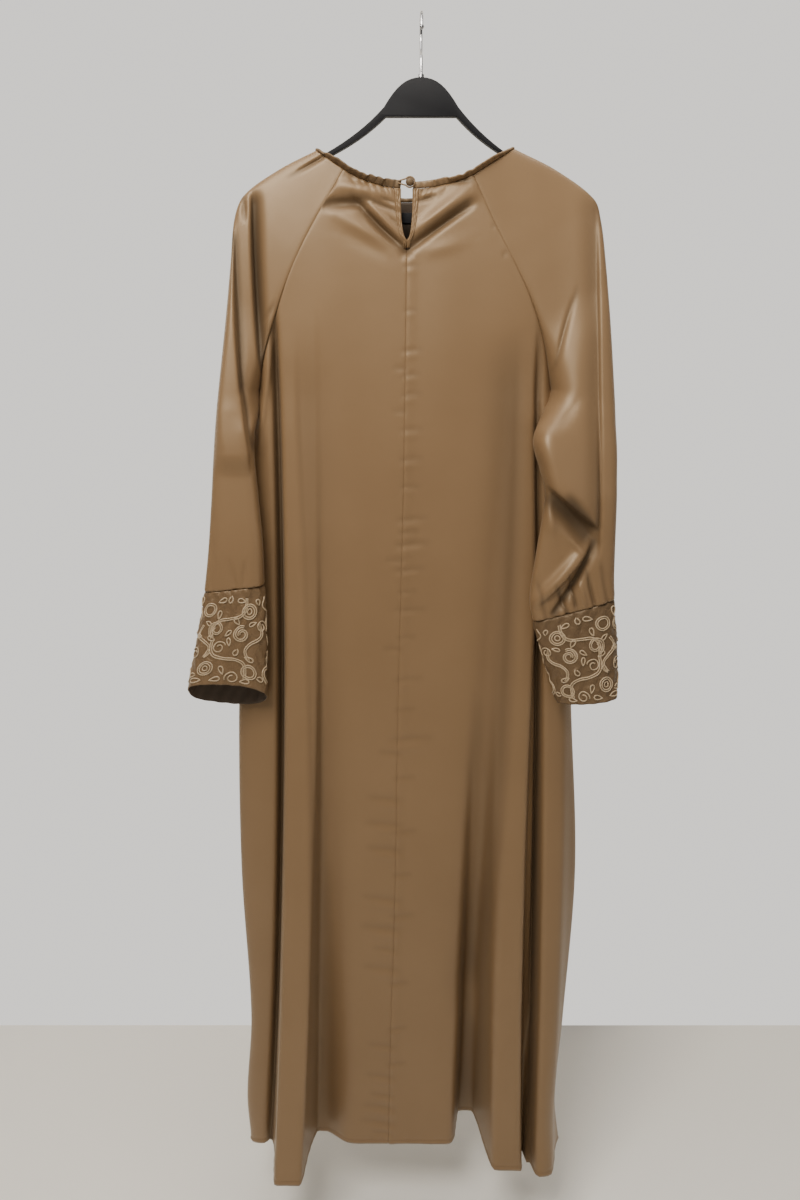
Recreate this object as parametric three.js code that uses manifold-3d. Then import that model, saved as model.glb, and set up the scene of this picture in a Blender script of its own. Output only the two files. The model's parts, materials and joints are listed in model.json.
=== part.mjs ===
// A satin abaya hanging on a clothes hanger, seen from the side with the keyhole neck.
// Millimetres, +Z up. The origin is the inside top of the hook, where the hanger rests on its rail.
// The near cloth, with the keyhole, faces -Y and the far cloth faces +Y. Left and right are the viewer's.
import * as THREE from "three";
import { mergeVertices } from "three/addons/utils/BufferGeometryUtils.js";
import Module from "manifold-3d";

// Driving dimensions
const CLOTH = 1.2; // wall of the cloth
const SEAM = 0.3; // gap between sewn pieces
const UNDERARM_Z = -425;
const HEM_Z = { near: -1535, side: -1550, far: -1552 };
const NECK_Z = { near: -191, far: -196 }; // cloth's top edge at the centre, under the binding
const SKIRT_ARCH = 2.6; // exponent of the body's section, 2 for an ellipse
const CAP_ARCH = 5; // exponent of the sleeve's section over the shoulder
const ARM_ARCH = 2.4; // exponent of the sleeve's section below the underarm
const SHOULDER_T = 0.4; // how far down the raglan seam the sleeve leaves the hanger's end
const TIP_T = 0.05; // how far below the underarm the sleeve's inner edge has come forward
const LEAD = { from: 0.7, power: 5 }; // past this t the sleeve comes forward all but a strip at its seam
const PINNED = { seam: 14, edge: 10 }; // exponents by which folds die out at a seam and at a sleeve's edges
const FOLD_FADE = 0.12; // a fold fades past its ends over this share of its length
// The keyhole: its bottom and the slit's tip, as shares of the yoke, half the slit's width, and the strips'
// widths at their top and end
const KEYHOLE = { bottom: 0.282, tip: 0.246, taper: 1.5, opening: 6.9, strip: 7.5, stripEnd: 3.4 };
const KEYHOLE_STRIP_THICK = 2.2;
const BINDING = { height: 7.5, thick: 3, top: 0.6 }; // top is its edge's thickness as a share
const BUTTON = { radius: 5, thick: 5, x: -13.3, z: -184, rim: 0.3, foot: 0.75 };
const LOOP = { radius: 0.9, round: 140, leg: 9, apart: 1.4 };

// Rows and columns of cells
const KEYHOLE_ROWS = 5;
const KEYHOLE_ROW_STEP = 0.02; // from the keyhole's bottom to the next row
const YOKE_ROWS = 9; // below the keyhole
const SKIRT_ROWS = 14;
const ARM_ROWS = 10;
const ROW_GROWTH = 1.2; // rows below the underarm lie closer together at their top
const CUFF_ROWS = 4;
const LOOP_STEPS = 8; // round the button
const NEAR_COLUMNS = 18; // each near panel
const FAR_COLUMNS = 26;
const SLEEVE_COLUMNS = 24; // all round
const DENSE = 160; // samples of a section before it is divided
const CROWDING = { gain: 2.2, flank: 0.5, spread: 0.8, fade: 90, least: 7 }; // columns gather on flanks

// The hanger and its hook
const HANGER = { thick: 9, arm: 9, crestZ: -67, crestHalf: 42, crestBase: -109, armTopZ: -99 };
const CREST = { round: 18, inset: 12, drop: 10 }; // how the crest's top curves
const UNDER_SLEEVE = { neck: 3.2, end: 5.6 }; // clear space between the sleeve's cloth and the arm
const ARM_HOLE = { inset: 4, rise: 1.5, clear: 10 }; // the opening's edge set against the arm's top
const ARM_END_TAPER = 1;
// Where each arm's top and underside leave the crest: a bend and its end, and the strut's top
const ARM_TOP = {
  left: { bendX: -72, bendZ: -128, x: -115, z: -150 },
  right: { bendX: 68, bendZ: -127, x: 100, z: -148 },
};
const ARM_UNDER = {
  left: { bendX: -70, bendZ: -135, x: -115, z: -155, strutZ: -201 },
  right: { bendX: 66, bendZ: -134, x: 101, z: -153, strutZ: -203 },
};
const BAR = { top: -216, bottom: -228, half: 196, strut: 9, radius: 4 };
const HOOK = { radius: 17, wire: 3.4, ball: 2.7, shankZ: -45, endZ: -65, frontZ: -12, tipRise: 10 };
const SHANK = { straight: 6, bendY: 1.5, bendRise: 1, swell: 0.62, swellRise: 10, startTurn: -0.22 };
const COLLAR = { radius: 3.4, height: 3.6 };

// The centre of the body, a row for each level: the centre seam's x and how far each face stands out
const SPINE = [
  { z: -191, x: -17, near: 14, far: 20 },
  { z: -260, x: -17, near: 18, far: 22 },
  { z: -425, x: -19, near: 24, far: 25 },
  { z: -560, x: -21, near: 27, far: 28 },
  { z: -850, x: -28, near: 30, far: 38 },
  { z: -1100, x: -32, near: 30, far: 48 },
  { z: -1350, x: -39, near: 28, far: 58 },
  { z: -1545, x: -43, near: 27, far: 66 },
];

// The side seams seen from the front, a row for each level
const SIDES = [
  { z: -425, left: -203, right: 166 },
  { z: -445, left: -207, right: 170 },
  { z: -470, left: -214, right: 177 },
  { z: -510, left: -221, right: 184 },
  { z: -560, left: -227, right: 190 },
  { z: -847, left: -245, right: 209 },
  { z: -1090, left: -251, right: 225 },
  { z: -1330, left: -246, right: 217 },
  { z: -1470, left: -257, right: 210 },
  { z: -1545, left: -254, right: 218 },
];

// The raglan seams, a row for each station from the neck (t 0) to the underarm (t 1); y is the distance
// from the hanger's plane, the same on both faces
const RAGLAN = {
  left: [
    { t: 0, x: -92, y: 15, z: -169 },
    { t: 0.22, x: -127, y: 17, z: -225 },
    { t: 0.42, x: -153, y: 19, z: -273 },
    { t: 0.6, x: -171, y: 18, z: -316 },
    { t: 0.84, x: -194, y: 11, z: -382 },
    { t: 1, x: -203, y: 0, z: -425 },
  ],
  right: [
    { t: 0, x: 62, y: 15, z: -175 },
    { t: 0.22, x: 88, y: 17, z: -228 },
    { t: 0.42, x: 110, y: 19, z: -268 },
    { t: 0.6, x: 133, y: 18, z: -312 },
    { t: 0.8, x: 152, y: 13, z: -361 },
    { t: 1, x: 166, y: 0, z: -425 },
  ],
};

// The sleeves, a row for each station: the outer edge, over the shoulder and down the arm, the inner edge
// below the underarm, how far the middle hangs towards the viewer, and half the sleeve's depth
const SLEEVE = {
  left: [
    { t: 0, outerX: -125, outerZ: -147, innerX: -203, innerZ: -425, middle: 0, roll: 11 },
    { t: 0.2, outerX: -170, outerZ: -168, innerX: -203, innerZ: -425, middle: 0, roll: 11 },
    { t: 0.4, outerX: -213, outerZ: -197, innerX: -203, innerZ: -425, middle: 0, roll: 12 },
    { t: 0.5, outerX: -225, outerZ: -223, innerX: -203, innerZ: -425, middle: 0, roll: 14 },
    { t: 0.65, outerX: -231, outerZ: -275, innerX: -203, innerZ: -425, middle: -4, roll: 16 },
    { t: 0.8, outerX: -239, outerZ: -345, innerX: -203, innerZ: -425, middle: -8, roll: 18 },
    { t: 1, outerX: -250, outerZ: -432, innerX: -205.2, innerZ: -425, middle: -15, roll: 19 },
    { t: 1.1, outerX: -252.5, outerZ: -456, innerX: -203.5, innerZ: -450, middle: -28, roll: 19 },
    { t: 1.3, outerX: -256, outerZ: -500, innerX: -207.5, innerZ: -494, middle: -37, roll: 18 },
    { t: 1.55, outerX: -261, outerZ: -565, innerX: -203, innerZ: -560, middle: -43, roll: 17 },
    { t: 1.8, outerX: -267, outerZ: -625, innerX: -199, innerZ: -617, middle: -45, roll: 17 },
    { t: 2, outerX: -274, outerZ: -675, innerX: -199, innerZ: -667, middle: -45, roll: 18 },
  ],
  right: [
    { t: 0, outerX: 111, outerZ: -145, innerX: 166, innerZ: -425, middle: 0, roll: 11 },
    { t: 0.2, outerX: 163, outerZ: -169, innerX: 166, innerZ: -425, middle: 0, roll: 11 },
    { t: 0.4, outerX: 209, outerZ: -201, innerX: 166, innerZ: -425, middle: 0, roll: 12 },
    { t: 0.5, outerX: 218, outerZ: -226, innerX: 166, innerZ: -425, middle: -2, roll: 14 },
    { t: 0.65, outerX: 225, outerZ: -275, innerX: 166, innerZ: -425, middle: -7, roll: 16 },
    { t: 0.8, outerX: 233, outerZ: -350, innerX: 166, innerZ: -425, middle: -14, roll: 18 },
    { t: 1, outerX: 240, outerZ: -438, innerX: 168.2, innerZ: -425, middle: -26, roll: 20 },
    { t: 1.05, outerX: 240.5, outerZ: -451, innerX: 162, innerZ: -438, middle: -32, roll: 20 },
    { t: 1.1, outerX: 241, outerZ: -464, innerX: 155, innerZ: -452, middle: -38, roll: 20 },
    { t: 1.25, outerX: 243, outerZ: -500, innerX: 140, innerZ: -486, middle: -46, roll: 19 },
    { t: 1.37, outerX: 243.5, outerZ: -533, innerX: 149, innerZ: -522, middle: -49, roll: 18 },
    { t: 1.47, outerX: 244, outerZ: -560, innerX: 156, innerZ: -552, middle: -50, roll: 18 },
    { t: 1.7, outerX: 245, outerZ: -622, innerX: 148, innerZ: -622, middle: -50, roll: 18 },
    { t: 1.88, outerX: 246, outerZ: -658, innerX: 141, innerZ: -683, middle: -50, roll: 17 },
    { t: 2, outerX: 248, outerZ: -684, innerX: 146, innerZ: -713, middle: -50, roll: 17 },
  ],
};

// The cuffs, a row for the seam, the middle and the open end: lean is how much lower the far rim hangs than
// the near one
const CUFF = {
  left: [
    { t: 0, outerX: -274, outerZ: -675.6, innerX: -199, innerZ: -667.6, middle: -45, roll: 18, lean: 0 },
    { t: 0.5, outerX: -287, outerZ: -742, innerX: -199, innerZ: -738, middle: -45.5, roll: 19.5, lean: 14 },
    { t: 1, outerX: -303, outerZ: -812, innerX: -202, innerZ: -818, middle: -46, roll: 21, lean: 40 },
  ],
  right: [
    { t: 0, outerX: 248, outerZ: -684.6, innerX: 146, innerZ: -713.6, middle: -50, roll: 17, lean: 0 },
    { t: 0.5, outerX: 254, outerZ: -748, innerX: 162, innerZ: -764, middle: -50, roll: 21, lean: -3 },
    { t: 1, outerX: 258, outerZ: -811, innerX: 181, innerZ: -819, middle: -50, roll: 26, lean: -6 },
  ],
};

// The large folds, a row each. A fold runs down its face through three points, (x0, z0) at the top, x1 half
// way and (x2, z2) at the end, and stands out by d0, d1 and d2 there, or in where they are negative. Its top
// is flat for that many millimetres each side of the line, then falls away over the soft widths beside it.
const FOLDS = [
  { face: "near", of: "left forward roll", x0: -150, z0: -430, x1: -161, x2: -184, z2: -1545,
    d0: 2, d1: 24, d2: 77, flat: 15, soft: [11, 11] },
  { face: "near", of: "valley outside it", x0: -172, z0: -400, x1: -184, x2: -224, z2: -1545,
    d0: -4, d1: -13, d2: -6, flat: 2, soft: [9, 5] },
  { face: "near", of: "recess inside it", x0: -120, z0: -760, x1: -128, x2: -144, z2: -1545,
    d0: 0, d1: -6, d2: -24, flat: 5, soft: [7, 22] },
  { face: "near", of: "right valley", x0: 106, z0: -500, x1: 86, x2: 77, z2: -1545,
    d0: 0, d1: -17, d2: -72, flat: 12, soft: [7, 6] },
  { face: "near", of: "right forward roll", x0: 124, z0: -480, x1: 122, x2: 130, z2: -1545,
    d0: 2, d1: 21, d2: 50, flat: 18, soft: [13, 4] },
  { face: "near", of: "crease between the right rolls", x0: 147, z0: -440, x1: 160, x2: 157, z2: -1545,
    d0: -7, d1: -24, d2: -24, flat: 0.5, soft: [5, 5] },
  { face: "near", of: "right side roll", x0: 160, z0: -480, x1: 181, x2: 180, z2: -1545,
    d0: 0, d1: 17, d2: 60, flat: 15, soft: [5, 14] },
  { face: "near", of: "left pull to the keyhole", x0: -96, z0: -203, x1: -54, x2: -26, z2: -257,
    d0: -2, d1: -5, d2: -3, flat: 1, soft: [14, 12] },
  { face: "near", of: "left puff beside the keyhole", x0: -66, z0: -190, x1: -42, x2: -24, z2: -245,
    d0: 3, d1: 5, d2: 2, flat: 4, soft: [12, 9] },
  { face: "near", of: "right pull to the keyhole", x0: 62, z0: -202, x1: 16, x2: -11, z2: -257,
    d0: -2, d1: -5, d2: -3, flat: 1, soft: [12, 14] },
  { face: "near", of: "right puff beside the keyhole", x0: 32, z0: -190, x1: 8, x2: -8, z2: -245,
    d0: 3, d1: 5, d2: 2, flat: 4, soft: [9, 12] },
  { face: "far", of: "far left roll", x0: -160, z0: -440, x1: -176, x2: -196, z2: -1545,
    d0: 0, d1: 10, d2: 24, flat: 12, soft: [12, 14] },
  { face: "far", of: "far left valley", x0: -118, z0: -520, x1: -128, x2: -146, z2: -1545,
    d0: 0, d1: -12, d2: -34, flat: 5, soft: [14, 14] },
  { face: "far", of: "far middle roll", x0: -70, z0: -520, x1: -78, x2: -92, z2: -1545,
    d0: 0, d1: 6, d2: 18, flat: 12, soft: [14, 14] },
  { face: "far", of: "far middle valley", x0: -8, z0: -560, x1: -14, x2: -26, z2: -1545,
    d0: 0, d1: -10, d2: -28, flat: 5, soft: [16, 16] },
  { face: "far", of: "far right roll", x0: 70, z0: -480, x1: 74, x2: 78, z2: -1545,
    d0: 0, d1: 9, d2: 26, flat: 14, soft: [16, 14] },
  { face: "far", of: "far right valley", x0: 118, z0: -520, x1: 132, x2: 140, z2: -1545,
    d0: 0, d1: -10, d2: -30, flat: 4, soft: [12, 10] },
  { face: "near sleeve left", of: "valley from the hanger's end", x0: -203, z0: -206, x1: -203,
    x2: -200, z2: -402, d0: -5, d1: -13, d2: -5, flat: 3, soft: [3, 7] },
  { face: "near sleeve left", of: "front roll over it", x0: -238, z0: -232, x1: -238, x2: -224, z2: -500,
    d0: 3, d1: 10, d2: 8, flat: 12, soft: [16, 3] },
  { face: "far sleeve left", of: "far valley", x0: -206, z0: -212, x1: -212, x2: -214, z2: -430,
    d0: -2, d1: -9, d2: -4, flat: 2, soft: [8, 8] },
  { face: "near sleeve right", of: "long crease from the hanger's end", x0: 211, z0: -222, x1: 219, x2: 222,
    z2: -600, d0: -3, d1: -7, d2: -6, flat: 0.5, soft: [5, 4] },
  { face: "near sleeve right", of: "roll from the elbow", x0: 200, z0: -310, x1: 190, x2: 178, z2: -425,
    d0: 0, d1: 6, d2: 8, flat: 8, soft: [4, 22] },
  { face: "far sleeve right", of: "far valley", x0: 196, z0: -214, x1: 200, x2: 196, z2: -430,
    d0: -2, d1: -9, d2: -4, flat: 2, soft: [9, 9] },
  { face: "near sleeve right", of: "fold above the cuff", x0: 205, z0: -618, x1: 178, x2: 146, z2: -690,
    d0: 2, d1: 9, d2: 3, flat: 3, soft: [10, 5] },
  { face: "near sleeve right", of: "crease beside it", x0: 216, z0: -610, x1: 196, x2: 170, z2: -700,
    d0: -3, d1: -8, d2: -4, flat: 1, soft: [6, 7] },
];

// The right sleeve's pouch: it sags over a slanting lower edge, down to its corner at the long crease, and
// dies away above the edge, below it and at the crease's side
const POUCH = {
  depth: 22, x0: 140, z0: -524, z1: -558, x2: 222, z2: -590, rise: 95, drop: 6, past: 2, side: 12,
};

// The couched cords on each cuff, a row each: its middle, as a share of the way round and of the way down,
// where it starts, in degrees, how many turns it makes, and its radius at the start and at the end
const CORD = { width: 4.6, thick: 1.6, lift: 0.75, steps: 14, crowding: 0.85, probe: 2 };
const SCROLLS = [
  { around: 0.15, down: 0.27, start: 250, turns: 1.35, wide: 15.5, tight: 5 },
  { around: 0.345, down: 0.33, start: 70, turns: -1.25, wide: 15, tight: 5 },
  { around: 0.155, down: 0.7, start: 110, turns: -1.3, wide: 15, tight: 5 },
  { around: 0.345, down: 0.75, start: 280, turns: 1.3, wide: 14.5, tight: 5 },
  { around: 0.655, down: 0.27, start: 250, turns: 1.35, wide: 15, tight: 5 },
  { around: 0.85, down: 0.33, start: 70, turns: -1.25, wide: 15, tight: 5 },
  { around: 0.655, down: 0.7, start: 110, turns: -1.3, wide: 15, tight: 5 },
  { around: 0.845, down: 0.75, start: 280, turns: 1.3, wide: 14.5, tight: 5 },
];

const SATIN = new THREE.MeshStandardMaterial({ color: 0x8f7452, roughness: 0.42, metalness: 0 });
const EMBROIDERY = new THREE.MeshStandardMaterial({ color: 0xa98d66, roughness: 0.5, metalness: 0 });
const BLACK_PLASTIC = new THREE.MeshStandardMaterial({ color: 0x1b1c20, roughness: 0.5, metalness: 0 });
const STEEL = new THREE.MeshStandardMaterial({ color: 0xb9bbbd, roughness: 0.25, metalness: 1 });

const clamp01 = (a) => Math.min(1, Math.max(0, a));
const mix = (a, b, share) => a + (b - a) * share;
const smooth = (a) => clamp01(a) ** 2 * (3 - 2 * clamp01(a));
const arch = (w, power) => (1 - Math.min(1, Math.abs(w)) ** power) ** (1 / power);

// Reads a column of a table at a value of its key column, along a smooth curve through the rows.
function read(table, key, at, column) {
  const order = Math.sign(table[table.length - 1][key] - table[0][key]);
  let i = 0;
  while (i < table.length - 2 && (at - table[i + 1][key]) * order > 0) i += 1;
  const slope = (a, b) => (table[b][column] - table[a][column]) / (table[b][key] - table[a][key]);
  const last = table.length - 1;
  const slopeAt = (n) => (n === 0 ? slope(0, 1) : n === last ? slope(n - 1, n) : slope(n - 1, n + 1));
  const span = table[i + 1][key] - table[i][key];
  const s = clamp01((at - table[i][key]) / span);
  return (
    table[i][column] * (1 + 2 * s) * (1 - s) ** 2 +
    table[i + 1][column] * (3 - 2 * s) * s ** 2 +
    slopeAt(i) * span * s * (1 - s) ** 2 -
    slopeAt(i + 1) * span * s ** 2 * (1 - s)
  );
}

// The parabola through v0 at s 0, v1 at s 0.5 and v2 at s 1.
const throughThree = (v0, v1, v2, s) =>
  v0 * (1 - s) * (1 - 2 * s) + 4 * v1 * s * (1 - s) + v2 * s * (2 * s - 1);

// How far the folds of a face stand out at a point of the front view.
function foldsAt(face, x, z) {
  let out = 0;
  for (const fold of FOLDS) {
    if (fold.face !== face) continue;
    const s = (z - fold.z0) / (fold.z2 - fold.z0);
    const along = clamp01(s);
    const past = Math.abs(s - along) / FOLD_FADE;
    const aside = x - throughThree(fold.x0, fold.x1, fold.x2, along);
    const beyond = Math.max(0, Math.abs(aside) - fold.flat) / fold.soft[aside < 0 ? 0 : 1];
    const deep = throughThree(fold.d0, fold.d1, fold.d2, along) * (1 - smooth(past));
    out += deep * Math.exp(-beyond * beyond);
  }
  return out;
}

// How closely columns crowd at a point: they gather on the flanks of the folds, and so run along them.
function crowdingAt(face, x, z) {
  let crowd = 1;
  for (const fold of FOLDS) {
    if (fold.face !== face || Math.max(Math.abs(fold.d1), Math.abs(fold.d2)) < CROWDING.least) continue;
    const s = (z - fold.z0) / (fold.z2 - fold.z0);
    const past = Math.abs(s - clamp01(s)) * Math.abs(fold.z2 - fold.z0);
    const aside = x - throughThree(fold.x0, fold.x1, fold.x2, clamp01(s));
    const soft = fold.soft[aside < 0 ? 0 : 1];
    const fromFlank = (Math.abs(aside) - fold.flat - CROWDING.flank * soft) / (CROWDING.spread * soft);
    crowd += CROWDING.gain * Math.exp(-(fromFlank ** 2) - (past / CROWDING.fade) ** 2);
  }
  return crowd;
}

// How far the right sleeve's pouch stands out: full just above its edge, gone just below it.
function pouchAt(x, z) {
  const along = clamp01((x - POUCH.x0) / (POUCH.x2 - POUCH.x0));
  const above = z - throughThree(POUCH.z0, POUCH.z1, POUCH.z2, along);
  const height = Math.exp(-((above / (above < 0 ? POUCH.drop : POUCH.rise)) ** 2));
  return POUCH.depth * height * smooth((POUCH.x2 + POUCH.past - x) / POUCH.side);
}

const SIGN = { near: -1, far: 1 };

// Rows of the yoke as shares of the way from the neck to the underarm, one of them at the keyhole's bottom.
function yokeRows() {
  const rows = [];
  for (let k = 0; k <= KEYHOLE_ROWS; k += 1) rows.push((KEYHOLE.bottom * k) / KEYHOLE_ROWS);
  const below = KEYHOLE.bottom + KEYHOLE_ROW_STEP;
  for (let k = 0; k <= YOKE_ROWS; k += 1) rows.push(mix(below, 1, k / YOKE_ROWS));
  return rows;
}
const YOKE = yokeRows();
const SKIRT = Array.from({ length: SKIRT_ROWS }, (_, k) => 1 + ((k + 1) / SKIRT_ROWS) ** ROW_GROWTH);
const ARM = Array.from({ length: ARM_ROWS }, (_, k) => 1 + ((k + 1) / ARM_ROWS) ** ROW_GROWTH);
const UNDERARM_ROW = YOKE.length - 1;

// The seam at a body panel's edge, the raglan seam above the underarm (t under 1) and the side seam below.
function edgePoint(side, t) {
  if (t <= 1)
    return {
      x: read(RAGLAN[side], "t", t, "x"),
      y: Math.max(0, read(RAGLAN[side], "t", t, "y")),
      z: read(RAGLAN[side], "t", t, "z"),
    };
  const z = mix(UNDERARM_Z, HEM_Z.side, t - 1);
  return { x: read(SIDES, "z", z, side), y: 0, z };
}

// The body's centre line on a face.
function centrePoint(face, t) {
  const z = t <= 1 ? mix(NECK_Z[face], UNDERARM_Z, t) : mix(UNDERARM_Z, HEM_Z[face], t - 1);
  return { x: read(SPINE, "z", z, "x"), y: read(SPINE, "z", z, face), z };
}

// A point of the body, a share w of the way from the centre line to the seam at its side.
function bodyPoint(face, side, t, w, folded = true) {
  const centre = centrePoint(face, t);
  const edge = edgePoint(side, t);
  const x = mix(centre.x, edge.x, w);
  const z = mix(centre.z, edge.z, w ** (2 + 2 * clamp01(t - 1))); // a row is flattest below the underarm
  const free = 1 - w ** PINNED.seam;
  const y = mix(edge.y, centre.y, arch(w, SKIRT_ARCH)) + (folded ? foldsAt(face, x, z) * free : 0);
  return new THREE.Vector3(x, SIGN[face] * y, z);
}

// A point of a sleeve, a share w of the way from the inner edge, or the raglan seam, to the outer edge.
function sleevePoint(face, side, t, w, folded = true) {
  const table = SLEEVE[side];
  const station = (column) => read(table, "t", t, column);
  const inner = t < 1 ? edgePoint(side, t) : { x: station("innerX"), y: 0, z: station("innerZ") };
  const x = mix(inner.x, station("outerX"), w);
  const z = mix(inner.z, station("outerZ"), w);
  const roll = station("roll");
  const closing = smooth((t - SHOULDER_T) / (1 - SHOULDER_T)); // 0 an arch over the shoulder, 1 a ring
  const over = mix(inner.y, roll, w) * arch(w, CAP_ARCH);
  const ring = inner.y * (1 - w) ** 4 + roll * arch(2 * w - 1, ARM_ARCH);
  const power = mix(1, LEAD.power, smooth((t - LEAD.from) / (1 - LEAD.from)));
  const behind = (1 - w) ** power * (1 - smooth((t - 1) / TIP_T));
  const middle = station("middle") * (1 - behind);
  const free = 1 - Math.abs(2 * w - 1) ** PINNED.edge;
  let out = folded ? foldsAt(`${face} sleeve ${side}`, x, z) : 0;
  if (folded && face === "near" && side === "right") out += pouchAt(x, z);
  return new THREE.Vector3(x, middle + SIGN[face] * (mix(over, ring, closing) + out * free), z);
}

// A point of a cuff, a share w of the way from its inner edge to its outer edge.
function cuffPoint(face, side, t, w) {
  const station = (column) => read(CUFF[side], "t", t, column);
  const out = SIGN[face] * arch(2 * w - 1, ARM_ARCH);
  const x = mix(station("innerX"), station("outerX"), w);
  const z = mix(station("innerZ"), station("outerZ"), w) - (station("lean") / 2) * out;
  return new THREE.Vector3(x, station("middle") + station("roll") * out, z);
}

// Samples a row at the shares given and divides it into columns, by the length of the row without its folds
// and by how the columns crowd, leaving out the given lengths at its start and end.
function divided(shares, pointAt, face, count, start = 0, end = 0) {
  const plain = shares.map((w) => pointAt(w, false));
  const crowd = plain.map((p) => crowdingAt(face, p.x, p.z));
  const reach = [0];
  for (let i = 1; i < plain.length; i += 1)
    reach.push(reach[i - 1] + plain[i].distanceTo(plain[i - 1]) * crowd[i]);
  const first = start * crowd[0];
  const last = reach[reach.length - 1] - end * crowd[crowd.length - 1];
  const row = [];
  let i = 1;
  for (let k = 0; k <= count; k += 1) {
    const at = mix(first, last, k / count);
    while (i < plain.length - 1 && reach[i] < at) i += 1;
    const share = mix(shares[i - 1], shares[i], (at - reach[i - 1]) / (reach[i] - reach[i - 1]));
    row.push(pointAt(share, true));
  }
  return row;
}

// Half the width of the open slit at the keyhole, and of the slit with its two bound strips.
const openingHalf = (t) => KEYHOLE.opening * arch(clamp01(t / KEYHOLE.tip) ** KEYHOLE.taper, 2) + SEAM;
const stripWidth = (t) => mix(KEYHOLE.strip, KEYHOLE.stripEnd, clamp01(t / KEYHOLE.bottom));
const slitHalf = (t) => (t <= KEYHOLE.bottom ? openingHalf(t) + stripWidth(t) + SEAM : SEAM / 2);

const DENSE_SHARES = Array.from({ length: DENSE + 1 }, (_, k) => Math.sin((Math.PI / 2) * (k / DENSE)));

// A panel's row, from a distance off the centre line to the seam at its side.
function halfRow(face, side, t, fromCentre, columns) {
  const span = Math.abs(edgePoint(side, t).x - centrePoint(face, t).x);
  const shares = DENSE_SHARES.map((w) => mix(fromCentre / span, 1, w));
  return divided(shares, (w, folded) => bodyPoint(face, side, t, w, folded), face, columns, 0, SEAM);
}

const nearGrid = (side) =>
  [...YOKE, ...SKIRT].map((t) => halfRow("near", side, t, slitHalf(t), NEAR_COLUMNS));

// The far panel's rows run from the left seam to the right one.
const farGrid = () =>
  [...YOKE, ...SKIRT].map((t) => [
    ...halfRow("far", "left", t, 0, FAR_COLUMNS / 2).reverse(),
    ...halfRow("far", "right", t, 0, FAR_COLUMNS / 2).slice(1),
  ]);

const sleevePointAt = (side, t, face, w, folded) => sleevePoint(face, side, t, w, folded);

// A ring from the inner edge over the near face to the outer edge and back over the far face.
function ringOf(pointAt, columns, open, tag = "") {
  const shares = Array.from({ length: DENSE + 1 }, (_, k) => (1 - Math.cos((Math.PI * k) / DENSE)) / 2);
  const half = (face) =>
    divided(shares, (w, folded) => pointAt(face, w, folded), face + tag, columns / 2, open ? SEAM : 0, 0);
  return [...half("near"), ...half("far").reverse().slice(1)];
}

const sleeveGrid = (side) =>
  [...YOKE, ...ARM].map((t) =>
    ringOf((...at) => sleevePointAt(side, t, ...at), SLEEVE_COLUMNS, t < 1, ` sleeve ${side}`),
  );

const cuffGrid = (side) =>
  Array.from({ length: CUFF_ROWS + 1 }, (_, k) =>
    ringOf((face, w) => cuffPoint(face, side, k / CUFF_ROWS, w), SLEEVE_COLUMNS, false),
  );

// The bound strip down one side of the keyhole.
function stripGrid(side) {
  return YOKE.slice(0, KEYHOLE_ROWS + 1).map((t) => {
    const span = Math.abs(edgePoint(side, t).x - centrePoint("near", t).x);
    return [openingHalf(t), openingHalf(t) + stripWidth(t) / 2, openingHalf(t) + stripWidth(t)].map((x) =>
      bodyPoint("near", side, t, x / span),
    );
  });
}

// The outward direction at each point of a grid. Rows from closedFrom on are rings, whose first and last
// columns are one; turn is 1 or -1, whichever makes the directions point out.
function normalsOf(grid, turn, closedFrom = Infinity) {
  return grid.map((row, i) =>
    row.map((_, j) => {
      const last = row.length - 1;
      const ring = i >= closedFrom && (j === 0 || j === last);
      const before = ring ? row[last - 1] : row[Math.max(0, j - 1)];
      const after = ring ? row[1] : row[Math.min(last, j + 1)];
      const column = ring ? 0 : j;
      const above = grid[Math.max(0, i - 1)][column];
      const below = grid[Math.min(grid.length - 1, i + 1)][column];
      const across = after.clone().sub(before);
      return below.clone().sub(above).cross(across).multiplyScalar(turn).normalize();
    }),
  );
}

// Gives the edges of two neighbours one direction, so that their walls end face to face at the seam.
function matchSeam(a, columnA, b, columnB, rows) {
  for (const i of rows) {
    const shared = a[i][columnA].clone().add(b[i][columnB]).normalize();
    a[i][columnA].copy(shared);
    b[i][columnB].copy(shared);
  }
}

// A closed wall of cloth from a grid of points and their outward directions.
function wallOf(grid, normals, { thick = CLOTH, closedFrom = Infinity } = {}) {
  const rows = grid.length;
  const columns = grid[0].length;
  const positions = [];
  for (const out of [thick / 2, -thick / 2])
    for (let i = 0; i < rows; i += 1)
      for (let j = 0; j < columns; j += 1)
        positions.push(...grid[i][j].clone().addScaledVector(normals[i][j], out));
  const at = (layer, i, j) => (layer * rows + i) * columns + (i >= closedFrom && j === columns - 1 ? 0 : j);
  const faces = [];
  const quad = (a, b, c, d) => {
    if (a !== b && b !== c && a !== c) faces.push(a, b, c);
    if (a !== c && c !== d && a !== d) faces.push(a, c, d);
  };
  for (let i = 0; i < rows - 1; i += 1)
    for (let j = 0; j < columns - 1; j += 1) {
      quad(at(0, i, j), at(0, i + 1, j), at(0, i + 1, j + 1), at(0, i, j + 1));
      quad(at(1, i, j), at(1, i, j + 1), at(1, i + 1, j + 1), at(1, i + 1, j));
    }
  for (let j = 0; j < columns - 1; j += 1) {
    quad(at(0, 0, j), at(0, 0, j + 1), at(1, 0, j + 1), at(1, 0, j));
    quad(at(0, rows - 1, j), at(1, rows - 1, j), at(1, rows - 1, j + 1), at(0, rows - 1, j + 1));
  }
  for (let i = 0; i < Math.min(rows - 1, closedFrom); i += 1) {
    const last = columns - 1;
    quad(at(0, i, 0), at(1, i, 0), at(1, i + 1, 0), at(0, i + 1, 0));
    quad(at(0, i, last), at(0, i + 1, last), at(1, i + 1, last), at(1, i, last));
  }
  return solidGeometry(positions, faces);
}

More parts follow.
